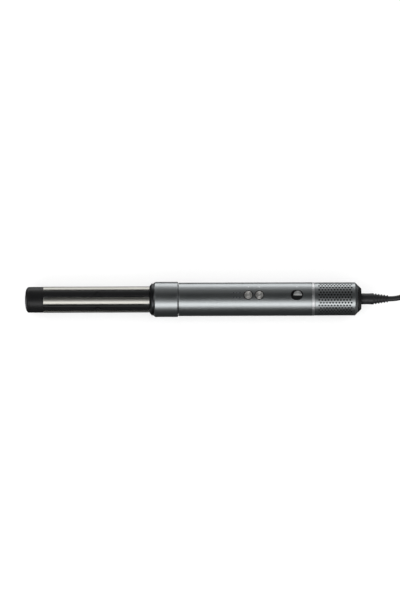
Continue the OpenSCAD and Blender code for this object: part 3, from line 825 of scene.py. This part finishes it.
def shell_openings():
    """The openings of the two buttons, the slide switch and the six lights."""
    room = 0.05
    along, across, _ = high_corner("slide_bezel") - low_corner("slide_bezel")
    slide = Opening(middle("slide_bezel")[0], 0, across / 2 + room, (along - across) / 2)
    buttons = [Opening(middle(node)[0], 0, BEZEL_R + room)
               for node in ("airflow_button", "heat_button")]
    lights = [Opening(x, y, LIGHT_R + room) for x, y in light_places()]
    return [*buttons, slide, *lights]


def light_places():
    """Places of the six lights seen from above: three along the handle in each of two rows."""
    low, high = low_corner("indicator_lights"), high_corner("indicator_lights")
    first, last = low[0] + LIGHT_R, high[0] - LIGHT_R
    side = HANDLE_R * math.sin(LIGHT_TURN)
    return [(x, y) for x in (first, (first + last) / 2, last) for y in (-side, side)]


def shell_shape():
    """Handle tube with openings. Its points lie on a grid of x and turn; near the top the turn
    stands for a place y seen from above, the grid is drawn in round each opening, and the faces
    inside the openings are left out."""
    start, end, radius = span("handle_shell")
    wall = 1.4
    inner_r = radius - wall
    edge = 0.4
    front_edge = 0.8
    openings = shell_openings()
    x_marks = [start, start + 0.03, start + 0.12, start + 0.3, start + front_edge,
               end - edge, end - 0.2, end - 0.06, end]
    y_marks = []
    for opening in openings:
        for reach in (opening.near, opening.far):
            x_marks += [opening.x - opening.straight - reach, opening.x + opening.straight + reach]
            y_marks += [opening.y - reach, opening.y + reach]
        x_marks += [opening.x - opening.straight, opening.x + opening.straight]
    busy = [mark for mark in x_marks if start + 2 < mark < end - 2]
    fine = 0.62
    x = np.unique(np.concatenate([filled(busy, fine), filled(x_marks, 4.0)]).round(4))
    y = filled(y_marks, fine)
    rest = math.asin(y[-1] / radius)
    turn = np.concatenate([
        -np.arcsin(y[::-1] / radius), filled([rest, FULL_TURN - rest], 0.11)[1:-1]
    ])
    rows, columns = np.meshgrid(x, turn, indexing="ij")
    above = np.cos(columns) > 0.5
    far_away = 99.0
    plan = np.where(above, -radius * np.sin(columns), far_away)
    hole = np.zeros((len(x) - 1, len(turn)), bool)
    middle_x = (rows[:-1] + rows[1:]) / 2
    plan_next = np.roll(plan, -1, axis=1)
    middle_y = ((plan + plan_next) / 2)[:-1]
    moved_x, moved_y = rows, plan
    for opening in openings:
        hole |= opening.local(middle_x, middle_y)[2] < opening.near
        moved_x, moved_y = opening.pulled(moved_x, moved_y)
    outer_turn = np.where(above, -np.arcsin(np.clip(moved_y / radius, -1, 1)), columns)
    # The openings' walls are plumb, and further round the wall is square to the skin
    plumb = np.clip(moved_y / inner_r, -1, 1)
    fade = 1 - smooth_step((np.abs(moved_y) - 8) / 6)
    inner_turn = np.where(above, outer_turn * (1 - fade) - np.arcsin(plumb) * fade, columns)
    outer_r = (radius - edge_drop(moved_x, start, end + 1, front_edge)
               - edge_drop(moved_x, start - 1, end, edge))
    outer = around(moved_x, outer_r, outer_turn).reshape(-1, 3)
    inner = around(moved_x, inner_r, inner_turn).reshape(-1, 3)
    faces = grid_faces(len(x), len(turn), False, True)[~hole.reshape(-1)]
    return walled(outer, inner, faces)


class IRON_OT_handle(bpy.types.Operator):
    """Builds the shoulder ring, collar, nose and handle shell"""

    bl_idname = "iron.handle"
    bl_label = "Handle"

    def execute(self, context):
        add_piece("shoulder_dark_ring", turned(shoulder_outline()), "barrel", "dark_ring",
                  ["shoulder_ring"])
        add_piece("collar_sleeve", turned(collar_outline()), "barrel", "gunmetal",
                  ["coupling_collar"])
        add_piece("handle_nose", turned(nose_outline()), "handle", "inner_plastic",
                  ["nose_spigot"])
        add_piece("handle_tube", shell_shape(), "handle", "gunmetal", ["handle_shell"],
                  crease=30)
        return {"FINISHED"}


# ---- controls ----


def button_outline(node):
    """Button from its flange to a low crown inside a rounded lip: z = top - crown (r / R)²."""
    bottom = low_corner(node)[2] - AXIS_HEIGHT
    top = high_corner(node)[2] - AXIS_HEIGHT
    flange = (high_corner(node)[0] - low_corner(node)[0]) / 2
    radius = flange - 0.35
    crown = sizes().button_crown
    reach = np.linspace(radius - 0.7, 0, 10)
    face = np.c_[reach, top - crown * (reach / (radius - 0.7)) ** 2]
    body = rounded([
        (0, bottom, 0), (flange, bottom, 0.1), (flange, bottom + 0.6, 0.1),
        (radius, bottom + 0.6, 0.05), (radius, top - crown + 0.1, 0.25),
        (radius - 0.35, top - crown + 0.1, 0.1), (radius - 0.6, top - crown - 0.1, 0.1),
    ], 5)
    return np.vstack([body, face])


def ring_on_skin(centre_x, inner, outer, straight, bottom, proud, segments=96):
    """Ring round an opening, straight-sided seen from above, whose top follows the handle's
    curve: z = sqrt(R² - y²) plus how proud it stands, with a rounded inner and outer lip."""
    turn = np.linspace(0, FULL_TURN, segments, endpoint=False)
    shift = np.where(np.cos(turn) >= 0, straight, -straight)
    steps = [(inner, None), (inner, -0.25), (inner + 0.08, -0.06), (inner + 0.2, 0.0),
             (outer - 0.12, 0.0), (outer - 0.03, -0.05), (outer, -0.12), (outer, None)]
    rings = []
    for radius, drop in steps:
        x = centre_x + shift + radius * np.cos(turn)
        y = radius * np.sin(turn)
        skin = np.sqrt(HANDLE_R ** 2 - y ** 2) + proud
        z = np.full(segments, bottom) if drop is None else skin + drop
        rings.append(np.stack([x, y, AXIS_HEIGHT + z], axis=-1))
    points = np.vstack(rings)
    return points, grid_faces(len(steps), segments, True, True)


def half_moon(centre_x, radius, chord, bottom, top):
    """Half-moon grip: the arc above a chord, drawn in by quarter-circle steps at its top edge,
    with a top that slopes down to the chord."""
    start = math.asin(chord / radius)
    arc = np.linspace(start, math.pi - start, 41)
    straight = np.linspace(-1, 1, 17)[1:-1] * radius * math.cos(start)
    outline = np.vstack([np.c_[radius * np.cos(arc), radius * np.sin(arc)],
                         np.c_[straight, np.full(straight.size, chord)]])
    middle = outline.mean(axis=0)
    sweep = np.radians(np.linspace(0, 90, 6))
    fillet, slope = 0.7, 0.12
    rings = [(1.0, bottom)] + [
        (1 - fillet * (1 - math.cos(a)) / (radius / 2), top - fillet * (1 - math.sin(a)))
        for a in sweep
    ]
    shape = np.stack([
        np.c_[centre_x + middle[0] + scale * (outline[:, 0] - middle[0]),
              middle[1] + scale * (outline[:, 1] - middle[1]),
              AXIS_HEIGHT + z + slope * (z > bottom) * (outline[:, 1] - radius)]
        for scale, z in rings
    ])
    return lofted(shape)


def lens_outline(y):
    """Small light pipe that ends on the handle's skin, at z = sqrt(R² - y²)."""
    foot = 17.2
    skin = math.sqrt(HANDLE_R ** 2 - y ** 2)
    return rounded([(0, foot, 0), (LIGHT_R, foot, 0), (LIGHT_R, skin + 0.02, 0.15),
                    (0, skin, 0)], 4)


def printed_dot(x):
    """A thin round mark on the handle's skin, behind the line of the controls: circles about
    (x, turn) at three heights."""
    reach = 0.6
    behind = math.radians(-32)
    t = np.linspace(0, FULL_TURN, 20, endpoint=False)
    rings = [around(x + size * np.cos(t), HANDLE_R + height, behind + size * np.sin(t) / HANDLE_R)
             for size, height in ((reach, -0.05), (reach, 0.015), (reach - 0.05, 0.03))]
    return lofted(np.stack(rings))


def slide_plate(centre_x, bottom):
    """Thin plate under the slot that the nub stands on."""
    half = high_corner("power_slider")[1] - 0.02
    front, rear, fillet, thick = -8, 9, 0.6, 0.8
    corners = rounded([(front, -half, fillet), (rear, -half, fillet), (rear, half, fillet),
                       (front, half, fillet)], 4)
    rings = [np.c_[centre_x + corners[:, 0], corners[:, 1],
                   np.full(len(corners), AXIS_HEIGHT + z)] for z in (bottom, bottom + thick)]
    return lofted(np.stack(rings))


class IRON_OT_controls(bpy.types.Operator):
    """Builds the round buttons with their rings, the slide switch and the lights"""

    bl_idname = "iron.controls"
    bl_label = "Controls"

    def execute(self, context):
        rings = []
        for node, body in (("airflow_button", "airflow_key"), ("heat_button", "heat_key")):
            x = middle(node)[0]
            add_piece(node.replace("_button", "_spun_key"), spun(button_outline(node), (x, 0)),
                      body, "button_metal", [node],
                      spun_metal(node + "_face", colours().button, (x * MM, 0, 0)))
            bottom = low_corner("button_bezels")[2] - AXIS_HEIGHT + 0.7
            rings.append(ring_on_skin(x, BUTTON_RING_R, BEZEL_R, 0, bottom, 0.12))
        add_piece("button_black_rings", joined(*rings), "handle", "black_plastic",
                  ["button_bezels"])
        low, high = low_corner("slide_bezel"), high_corner("slide_bezel")
        x = middle("slide_bezel")[0]
        rim = (high[1] - low[1]) / 2
        straight = (high[0] - low[0]) / 2 - rim
        add_piece("slide_black_rim",
                  ring_on_skin(x, rim - 0.6, rim, straight, low[2] - AXIS_HEIGHT, 0.1),
                  "handle", "black_plastic", ["slide_bezel"])
        nub_x = x + straight
        bottom = low_corner("power_slider")[2] - AXIS_HEIGHT + 0.5
        floor = HANDLE_R - 1.1
        disc = spun(rounded([
            (0, bottom, 0), (NUB_R, bottom, 0), (NUB_R, floor, 0.25), (0, floor - 0.15, 0),
        ], 4), (nub_x, 0))
        add_piece("power_slide_nub", joined(disc, slide_plate(x, bottom)), "power_nub",
                  "slider_metal", ["power_slider"], finish_for("black_plastic"))
        grip = half_moon(nub_x, NUB_R - 0.5, -0.4, floor - 0.7, HANDLE_R + 0.3)
        add_piece("power_slide_grip", grip, "power_nub", "slider_metal", (),
                  spun_metal("slider_satin", (0.8, 0.81, 0.8), (nub_x * MM, 0, 0)))
        dots = [printed_dot(middle(node)[0])
                for node in ("slide_bezel", "airflow_button", "heat_button")]
        add_piece("printed_dots", joined(*dots), "handle", "gunmetal", (),
                  finish_for("print_white"))
        lenses = [spun(lens_outline(place[1]), place, 20) for place in light_places()]
        add_piece("indicator_lenses", joined(*lenses), "handle", "light_lens",
                  ["indicator_lights"])
        return {"FINISHED"}


# ---- filter and rear end ----


def trim_outline():
    """Polished ring with a raised bead and a plain rim."""
    start, end, radius = span("trim_ring")
    face = span("handle_shell")[1] + 0.1
    return rounded([
        (start, radius - 2.6, 0), (start, radius - 1.45, 0), (face, radius - 1.45, 0),
        (face, radius, 0.3), (face + 1.1, radius, 0.15), (face + 1.3, radius - 0.25, 0.1),
        (face + 1.5, radius - 0.02, 0.15), (end, radius - 0.02, 0.35), (end, radius - 2.6, 0),
    ], 5)


def sleeve_sheet():
    """Places (x, turn) and quads of the perforated sleeve. Round each hole a ring of sixteen
    quads runs from the hole's edge to the edge of its brick-shaped cell; every other row is
    shifted by half a cell, and plain grids fill the ends."""
    detail = sizes()
    start, end, radius = span("filter_sleeve")
    pitch, rows, count = detail.hole_pitch, detail.hole_rows, detail.row_holes
    zone = start + 3.2
    zone_end = zone + (count + 0.5) * pitch
    row_turn = FULL_TURN / rows
    step = np.arange(16)
    ring_x = np.cos(step * FULL_TURN / 16) * detail.hole_d / 2
    ring_turn = np.sin(step * FULL_TURN / 16) * detail.hole_d / 2 / radius
    near = np.minimum(step, 16 - step)
    side = np.clip(2 - 0.5 * near, -1, 1)
    cell_x = side * pitch / 2
    cell_turn = np.roll(side, 4) * row_turn / 2
    cell = np.stack([np.r_[ring_x, cell_x], np.r_[ring_turn, cell_turn]], axis=-1)
    cell_faces = grid_faces(2, 16, False, True)
    places, quads, used = [], [], 0

    def put(points, faces):
        nonlocal used
        places.append(points)
        quads.append(faces + used)
        used += len(points)

    def plain(x_lines, turn_lines):
        x, turn = np.meshgrid(x_lines, turn_lines, indexing="ij")
        put(np.stack([x, turn], axis=-1).reshape(-1, 2), grid_faces(len(x_lines), len(turn_lines)))

    for row in range(rows):
        shifted = row % 2
        turn = row * row_turn
        for hole in range(count):
            middle = (zone + (hole + 0.5 + shifted / 2) * pitch, turn)
            put(cell + middle, cell_faces)
        quarters = turn + np.linspace(-0.5, 0.5, 5) * row_turn
        half_cell = np.array([0, 0.25, 0.5]) * pitch
        plain((zone if shifted else zone_end - pitch / 2) + half_cell, quarters)
    ring = (np.arange(rows * 4 + 1) - 2) * row_turn / 4
    plain(np.array([start, start + 0.06, start + 0.15, start + 0.3, start + 1.6, zone]), ring)
    plain(np.array([zone_end, end - 3.9, end - 3.3, end - 3.1, end - 2.9, end - 0.2, end]), ring)
    places = np.vstack(places)
    quads = np.vstack(quads)
    # Points that meet at a cell's edge round to the same whole numbers and become one
    units = 10 ** 6
    keys = np.c_[np.round(places[:, 0] * 1000),
                 np.round(places[:, 1] / FULL_TURN * units) % units].astype(np.int64)
    _, first, place_of = np.unique(keys, axis=0, return_index=True, return_inverse=True)
    return places[first], place_of.reshape(-1)[quads]


def sleeve_shape():
    """Perforated sleeve: the sheet wrapped at the outer radius, which falls off in a cone at
    the rear, and again a wall's thickness inside it."""
    places, quads = sleeve_sheet()
    start, end, radius = span("filter_sleeve")
    x, turn = places.T
    cone = 3.15
    outer_r = radius - edge_drop(x, start, end + 1, 0.3) - np.clip(x - (end - cone), 0, cone)
    wall = 0.8 - 0.2 * smooth_step((x - end + 3.5) / 3)
    return walled(around(x, outer_r, turn), around(x, outer_r - wall, turn), quads)


def rear_outline():
    """Black cap that rounds off from the sleeve's cone to the swivel neck."""
    start, end, radius = span("rear_cap")
    seat = span("filter_sleeve")[1]
    bore = 6.53
    return rounded([
        (start, radius - 1.5, 0), (start, radius, 0), (seat + 0.9, radius, 0.3),
        (end - 1.2, radius - 2.7, 0.9), (end - 0.15, radius - 3.6, 0.4),
        (end, bore + 0.5, 0.2), (end - 0.1, bore, 0.1), (end - 3, bore, 0),
        (end - 3, radius - 1.5, 0),
    ], 6)


def boot_outline():
    """Swivel boot: a flange inside the cap, a slightly waisted barrel and a tail whose lands
    and grooves taper to the cord."""
    start, end, _ = span("cord_boot")
    face = span("rear_cap")[1]
    bore = 3.35
    body_r = 6.8
    tip_r = 4.3
    tail = face + 14.9
    ribs = 5
    pitch = (end - tail) / ribs
    corners = [
        (start, bore, 0), (start, body_r + 1.65, 0.2), (face - 3.2, body_r + 1.65, 0.2),
        (face - 3.2, body_r - 0.35, 0), (face + 0.3, body_r - 0.35, 0),
        (face + 0.3, body_r - 0.05, 0.2), (face + 7, body_r - 0.25, 8),
        (face + 13.9, body_r + 0.05, 2), (tail, body_r + 0.05, 0.3),
    ]
    for i in range(ribs):
        x = tail + i * pitch
        before, after = (body_r + 0.05 - (body_r - tip_r) * rib / ribs for rib in (i, i + 1))
        corners += [
            (x + 0.15, before - 1, 0.25), (x + 0.42 * pitch, after - 1, 0.25),
            (x + 0.47 * pitch, after, 0.3), (x + pitch, after, 0.3),
        ]
    return rounded(corners + [(end, bore, 0)], 4)


class IRON_OT_rear(bpy.types.Operator):
    """Builds the trim ring, the perforated sleeve with its filter, the rear cap and the boot"""

    bl_idname = "iron.rear"
    bl_label = "Filter and rear end"

    def execute(self, context):
        add_piece("trim_polished_ring", turned(trim_outline(), 160), "handle", "bright_trim",
                  ["trim_ring"])
        add_piece("sleeve_perforated", sleeve_shape(), "sleeve", "gunmetal", ["filter_sleeve"],
                  crease=30)
        start, end, radius = span("filter_mesh")
        inner = radius - 0.35
        cloth = np.array([(start, inner), (start, radius), (end, radius), (end, inner)])
        add_piece("filter_cloth_tube", turned(cloth), "handle", "mesh_black", ["filter_mesh"])
        add_piece("rear_black_cap", turned(rear_outline()), "handle", "black_plastic",
                  ["rear_cap"])
        add_piece("swivel_boot", turned(boot_outline(), 96), "boot", "cord_black",
                  ["cord_boot"])
        return {"FINISHED"}


# ---- cord and plug ----

# Routes from the boot down to the hank, and from the top of the hank to the plug
LEAD_ROUTE = [
    (214, 0, 21.3), (220, 0, 21.3), (226, 0.2, 21.15), (232, 1.2, 20.4), (238, 3, 19.2),
    (244, 5.3, 17.5), (250, 8, 15.6), (256, 11, 13.5), (262, 14, 11.4), (268, 17, 9.4),
    (274, 19.9, 7.5), (280, 22.3, 5.8), (286, 24.3, 4.4), (292, 25.5, 3.6), (298, 26, 3.25),
    (304, 26, 3.25), (311, 26, 3.25), (318, 26, 3.25),
]
TAIL_ROUTE = [
    (318, 19.5, 16.25), (324, 19, 16.5), (330, 17.3, 17.4), (336, 14.9, 18.7),
    (342, 12.2, 20.3), (348, 9.3, 22), (354, 6.5, 23.8), (360, 4, 25.4), (366, 2, 26.8),
    (372, 0.7, 27.7), (378, 0.1, 28), (384, 0, 28),
]
HANK_X = 364
HANK_RUN = 46
HANK_TURN_R = 19.5
HANK_WAIST = 9
# Column and layer of the strand at the start of each turn; the last is where it leaves
HANK_PLACES = np.array([(1, 0), (0, 0), (0, 1), (1, 1), (1, 2), (0, 2)], float)


def hank_loop(share, out):
    """A place on the hank's inner line, a share of the way round, moved outwards. The line has
    round ends joined by two runs that a raised cosine draws in at the tie."""
    run = np.linspace(-HANK_RUN, HANK_RUN, 241)
    side = HANK_TURN_R - HANK_WAIST * (1 + np.cos(math.pi * run / HANK_RUN)) / 2
    bend = np.linspace(math.pi / 2, -math.pi / 2, 181)[1:-1]
    far = np.c_[HANK_RUN + HANK_TURN_R * np.cos(bend), HANK_TURN_R * np.sin(bend)]
    line = np.vstack([np.c_[run, side], far, np.c_[-run, -side], -far,
                      [[-HANK_RUN, HANK_TURN_R]]])
    reach = np.r_[0, np.cumsum(np.linalg.norm(np.diff(line, axis=0), axis=1))]
    way = np.gradient(line, axis=0)
    way[[0, -1]] = (1, 0)
    way /= np.linalg.norm(way, axis=1, keepdims=True)
    out_way = np.c_[-way[:, 1], way[:, 0]]
    at = share * reach[-1]
    place = np.stack([np.interp(at, reach, line[:, i]) for i in (0, 1)], axis=-1)
    normal = np.stack([np.interp(at, reach, out_way[:, i]) for i in (0, 1)], axis=-1)
    return place + normal / np.linalg.norm(normal, axis=1, keepdims=True) * out[:, None]


def hank_turns(diameter):
    """Five turns of the hank. Each moves to the next strand's column and layer within its own
    fifth of the way round, so that no two strands cross at one place."""
    turns = len(HANK_PLACES) - 1
    along = np.arange(turns * 150) / 150
    turn = along.astype(int)
    share = along - turn
    change = smooth_step((share - (turns - 1 - turn) / turns) * turns)[:, None]
    place = HANK_PLACES[turn] * (1 - change) + HANK_PLACES[turn + 1] * change
    flat = hank_loop(share, place[:, 0] * diameter)
    return np.c_[flat[:, 0] + HANK_X, flat[:, 1], diameter * (0.5 + place[:, 1])]


def squeezed(path):
    """Draws the three layers of strands together inside the tie, most at its middle, where the
    lowest layer lies on the strap."""
    x, y, z = path.T
    bottom, top = 3.25, 16.25
    lifted_bottom, lifted_top = 4.55, 16.05
    near = smooth_step(1 - np.abs(x - HANK_X) / 26) * (z < top + 0.15) * (np.abs(y) > 8)
    lifted = lifted_bottom + (z - bottom) * (lifted_top - lifted_bottom) / (top - bottom)
    return np.c_[x, y * (1 - 0.034 * near), z + near * (lifted - z)]


def eased(route, parts=4):
    """Smooth curve through a route: a cubic between neighbours whose slope at each point runs
    between the points on its two sides."""
    route = np.array(route, float)
    slope = np.gradient(route, axis=0)
    t = (np.arange(parts) / parts)[None, :, None]
    a, b = route[:-1, None], route[1:, None]
    da, db = slope[:-1, None], slope[1:, None]
    curve = (a * (2 * t ** 3 - 3 * t ** 2 + 1) + da * (t ** 3 - 2 * t ** 2 + t)
             + b * (3 * t ** 2 - 2 * t ** 3) + db * (t ** 3 - t ** 2))
    return np.vstack([curve.reshape(-1, 3), route[-1:]])


def cord_path(diameter):
    """The whole centreline: down from the boot, round the hank and up to the plug."""
    hank = squeezed(hank_turns(diameter))
    return np.vstack([eased(LEAD_ROUTE)[:-1], hank, eased(TAIL_ROUTE)])


def plug_relief_shape():
    """Ribbed relief of the plug, about the plug's own line."""
    start, end, radius = span("plug_relief")
    height = middle("plug_relief")[2]
    bore = sizes().cord_d / 2 + 0.05
    ribs = 4
    pitch = 4.2
    corners = [(start, bore, 0), (start, bore + 0.85, 0.2)]
    for i in range(ribs):
        x = start + i * pitch
        land = bore + 0.95 + i * 0.45
        corners += [(x + 0.1, land, 0.2), (x + 0.6 * pitch, land + 0.3, 0.2),
                    (x + 0.65 * pitch, land - 0.7, 0.2), (x + 0.98 * pitch, land - 0.5, 0.2)]
    corners += [(end - 1, radius, 0.3), (end, radius, 0), (end, bore, 0)]
    points, faces = turned(rounded(corners, 3), 72)
    return points + [0, 0, height - AXIS_HEIGHT], faces


def plug_body_shape():
    """Plug body: flat oval sections along X, |y / w|^3.2 + |z / t|^3.2 = 1, whose half width w
    grows from the cord end and whose edges round off at both ends."""
    low, high = low_corner("plug_body"), high_corner("plug_body")
    height = middle("plug_body")[2]
    _, half, thick = (high - low) / 2
    x = filled([low[0], low[0] + 0.3, low[0] + 1, low[0] + 20, high[0] - 1.2, high[0] - 0.4,
                high[0]], 1.2)
    grow = smooth_step((x - low[0]) / 19)
    inset = 1.0 - np.sqrt(np.maximum(1 - np.clip(1 - np.minimum(x - low[0], high[0] - x), 0, 1)
                                     ** 2, 0))
    cord_end = (7.2, 7.4)
    width = cord_end[0] + (half - cord_end[0]) * grow - inset
    depth = cord_end[1] + (thick - cord_end[1]) * smooth_step((x - low[0]) / 12) - inset
    t = np.linspace(0, FULL_TURN, 72, endpoint=False)
    power = 2 / 3.2
    across = np.sign(np.cos(t)) * np.abs(np.cos(t)) ** power
    up = np.sign(np.sin(t)) * np.abs(np.sin(t)) ** power
    rings = np.stack(np.broadcast_arrays(
        x[:, None], width[:, None] * across, height + depth[:, None] * up), axis=-1)
    return lofted(rings)


def plug_pins_shape():
    """Two round contact pins with rounded ends."""
    low, high = low_corner("plug_pins"), high_corner("plug_pins")
    height = middle("plug_pins")[2]
    radius = (high[2] - low[2]) / 2
    pin = turned(rounded([(low[0], 0, 0), (low[0], radius, 0), (high[0], radius, 1.6),
                          (high[0], 0, 0)], 8), 40)
    offset = high[1] - radius
    return joined(*((pin[0] + [0, side * offset, height - AXIS_HEIGHT], pin[1])
                    for side in (-1, 1)))


def tie_shape():
    """Fabric strap: a flat band carried round a rounded rectangle about the hank's waist."""
    low, high = low_corner("cord_tie"), high_corner("cord_tie")
    bend, thick = 4.2, 1.25
    outer = rounded([(low[1], low[2], bend), (high[1], low[2], bend), (high[1], high[2], bend),
                     (low[1], high[2], bend)], 10)
    centre = outer.mean(axis=0)
    reach = outer - centre
    way = np.roll(outer, -1, axis=0) - np.roll(outer, 1, axis=0)
    normal = np.c_[way[:, 1], -way[:, 0]]
    normal /= np.linalg.norm(normal, axis=1, keepdims=True)
    normal *= np.sign((normal * reach).sum(axis=1))[:, None]
    section = rounded([(low[0], 0, 0.3), (high[0], 0, 0.3), (high[0], thick, 0.3),
                       (low[0], thick, 0.3)], 3)
    inset = outer[:, None] - normal[:, None] * section[None, :, 1:]
    x = np.broadcast_to(section[None, :, :1], inset.shape[:2] + (1,))
    points = np.concatenate([x, inset], axis=-1).reshape(-1, 3)
    return points, grid_faces(len(outer), len(section), True, True)


class IRON_OT_cord(bpy.types.Operator):
    """Builds the mains cord with its hank and tie, and the plug"""

    bl_idname = "iron.cord"
    bl_label = "Cord and plug"

    def execute(self, context):
        diameter = sizes().cord_d
        path = cord_path(diameter)
        cord = add_piece("mains_cord", swept(path, diameter / 2), "handle", "cord_black",
                         ["cord_lead", "cord_hank", "cord_tail"], crease=60)
        pieces = [
            add_piece("hank_strap", tie_shape(), "handle", "tie_black", ["cord_tie"]),
            add_piece("plug_ribbed_relief", plug_relief_shape(), "handle", "cord_black",
                      ["plug_relief"]),
            add_piece("plug_moulded_body", plug_body_shape(), "handle", "cord_black",
                      ["plug_body"]),
            add_piece("plug_contact_pins", plug_pins_shape(), "handle", "steel", ["plug_pins"],
                      finish_for("pin_metal")),
        ]
        return {"FINISHED"}


# ---- inner parts that keep their CAD shape ----

INNER_FINISHES = {
    "steel": ["tip_screw", "motor_housing", "motor_bearings", "rotor_shaft", "board_screws"],
    "inner_plastic": ["barrel_core", "coupling_hub", "inner_frame", "motor_mount", "impeller",
                      "tact_switches", "switch_body", "filter_core", "swivel_cup"],
    "seal_rubber": ["coupling_seal"],
    "spring_bronze": ["grip_ring"],
    "mica": ["heater_shroud", "heater_cards", "thermal_cutout"],
    "resistance_wire": ["heater_coil"],
    "copper": ["motor_stator"],
    "board_green": ["control_board"],
    "lead_red": ["power_leads"],
}


class IRON_OT_inner_parts(bpy.types.Operator):
    """Gives the inner CAD parts their materials"""

    bl_idname = "iron.inner_parts"
    bl_label = "Inner parts"

    def execute(self, context):
        for finish, nodes in INNER_FINISHES.items():
            for node in nodes:
                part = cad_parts[node]
                if not part.material_slots:
                    part.data.materials.append(None)
                for slot in part.material_slots:
                    slot.material = finish_for(finish)
        return {"FINISHED"}


# ---- stage ----


def side_view(degrees_from_up, distance):
    """A place round the iron's middle, from straight up towards +Y."""
    turn = math.radians(degrees_from_up)
    return Vector((0, math.sin(turn), math.cos(turn))) * distance


def add_softbox(name, place, size, radiance):
    """A rectangular light that faces the iron from a place, with a size along X and across, and
    the same brightness over its face."""
    light = bpy.data.lights.new(name, "AREA")
    light.shape = "RECTANGLE"
    light.size, light.size_y = size
    light.energy = radiance * math.pi * size[0] * size[1]
    lamp = bpy.data.objects.new(name, light)
    bpy.context.scene.collection.objects.link(lamp)
    centre = Vector((0, 0, AXIS_HEIGHT * MM))
    lamp.location = centre + place
    lamp.rotation_euler = place.to_track_quat("Z", "Y").to_euler()
    lamp.visible_camera = False


# Name, degrees from straight up towards +Y, width in metres and brightness: each bright box
# has a wide faint one behind it
SOFTBOXES = [
    ("main_softbox", -51, 0.60, 1.5),
    ("main_halo", -48, 1.40, 0.30),
    ("back_softbox", 98, 0.70, 1.1),
    ("back_halo", 88, 1.30, 0.28),
    ("top_haze", 72, 2.20, 0.10),
]


def add_camera():
    """Very long lens far above the iron, leaning towards -Y."""
    distance = 6.0
    field = 0.7272
    data = bpy.data.cameras.new("view_camera")
    data.sensor_width = 36
    data.lens = data.sensor_width * distance / field
    camera = bpy.data.objects.new("view_camera", data)
    bpy.context.scene.collection.objects.link(camera)
    target = Vector((-0.0079, -0.0006, AXIS_HEIGHT * MM - 0.0008))
    camera.location = target + side_view(-15, distance)
    level = (camera.location - target).to_track_quat("Z", "Y")
    camera.rotation_euler = (level @ Quaternion((0, 0, 1), math.radians(-0.17))).to_euler()
    bpy.context.scene.camera = camera


def add_floor():
    """Pale floor, wide enough for every view."""
    side = 6.0
    mesh = bpy.data.meshes.new("studio_floor")
    mesh.from_pydata([(-side, -side, 0), (side, -side, 0), (side, side, 0), (-side, side, 0)],
                     [], [(0, 1, 2, 3)])
    recipe = Recipe("floor_paper", Roughness=0.9, Emission_Color=(1, 1, 1),
                    Emission_Strength=0.56)
    mesh.materials.append(recipe.finish(
        Base_Color=recipe.varied((0.45, 0.45, 0.45), 0.01, recipe.noise(4, 2))))
    floor = bpy.data.objects.new("studio_floor", mesh)
    bpy.context.scene.collection.objects.link(floor)
    floor.visible_glossy = False
    floor.visible_shadow = False
    floor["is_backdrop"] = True


def add_world():
    """Even white light for matt surfaces, and a dim room for reflections."""
    world = bpy.data.worlds.new("studio_world")
    bpy.context.scene.world = world
    world.use_nodes = True
    nodes, links = world.node_tree.nodes, world.node_tree.links
    white = nodes["Background"]
    white.inputs["Color"].default_value = (1, 1, 1, 1)
    white.inputs["Strength"].default_value = 0.95
    dim = nodes.new("ShaderNodeBackground")
    dim.inputs["Color"].default_value = (0.95, 0.98, 1, 1)
    dim.inputs["Strength"].default_value = 0.035
    path = nodes.new("ShaderNodeLightPath")
    mix = nodes.new("ShaderNodeMixShader")
    links.new(path.outputs["Is Glossy Ray"], mix.inputs[0])
    links.new(white.outputs[0], mix.inputs[1])
    links.new(dim.outputs[0], mix.inputs[2])
    links.new(mix.outputs[0], nodes["World Output"].inputs["Surface"])
    world.cycles.sampling_method = "NONE"


class IRON_OT_stage(bpy.types.Operator):
    """Sets up the camera, the floor and the lights"""

    bl_idname = "iron.stage"
    bl_label = "Stage"

    def execute(self, context):
        context.scene.view_settings.view_transform = "Standard"
        add_camera()
        add_floor()
        add_world()
        for name, degrees, width, radiance in SOFTBOXES:
            add_softbox(name, side_view(degrees, 1.2), (2.6, width), radiance)
        for side in (-1, 1):
            for level, height in (("high", 0.95), ("low", -0.85)):
                add_softbox(f"end_card_{level}_{side + 1}", Vector((side * 1.3, 0, height)),
                            (0.6, 0.8), 1.2)
        return {"FINISHED"}


OPERATORS = (IRON_OT_stage, IRON_OT_cord, IRON_OT_barrel, IRON_OT_handle, IRON_OT_controls,
             IRON_OT_rear, IRON_OT_inner_parts)


class IRON_PT_build(bpy.types.Panel):
    """The sizes, the colours and the operators that build the iron"""

    bl_idname = "IRON_PT_build"
    bl_label = "Curling iron"
    bl_space_type = "VIEW_3D"
    bl_region_type = "UI"
    bl_category = "Iron"

    def draw(self, context):
        for group in (context.scene.iron_sizes, context.scene.iron_colours):
            box = self.layout.box()
            for name in group.__annotations__:
                box.prop(group, name)
        for operator in OPERATORS:
            self.layout.operator(operator.bl_idname)


CLASSES = (IronSizes, IronColours, *OPERATORS, IRON_PT_build)


def register():
    """Registers the classes and hangs the settings on the scene."""
    for cls in CLASSES:
        bpy.utils.register_class(cls)
    bpy.types.Scene.iron_sizes = PointerProperty(type=IronSizes)
    bpy.types.Scene.iron_colours = PointerProperty(type=IronColours)


def unregister():
    """Takes the settings and the classes away again."""
    del bpy.types.Scene.iron_colours
    del bpy.types.Scene.iron_sizes
    for cls in reversed(CLASSES):
        bpy.utils.unregister_class(cls)


def plain(box):
    """A box as plain lists of numbers."""
    return [[float(number) for number in corner] for corner in box]


def main():
    """Builds the whole scene."""
    register()
    for operator in OPERATORS:
        group, name = operator.bl_idname.split(".")
        getattr(getattr(bpy.ops, group), name)()
    {"cad": plain(CAD_BOX), "visual": plain(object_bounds())}


if __name__ == "__main__":
    main()
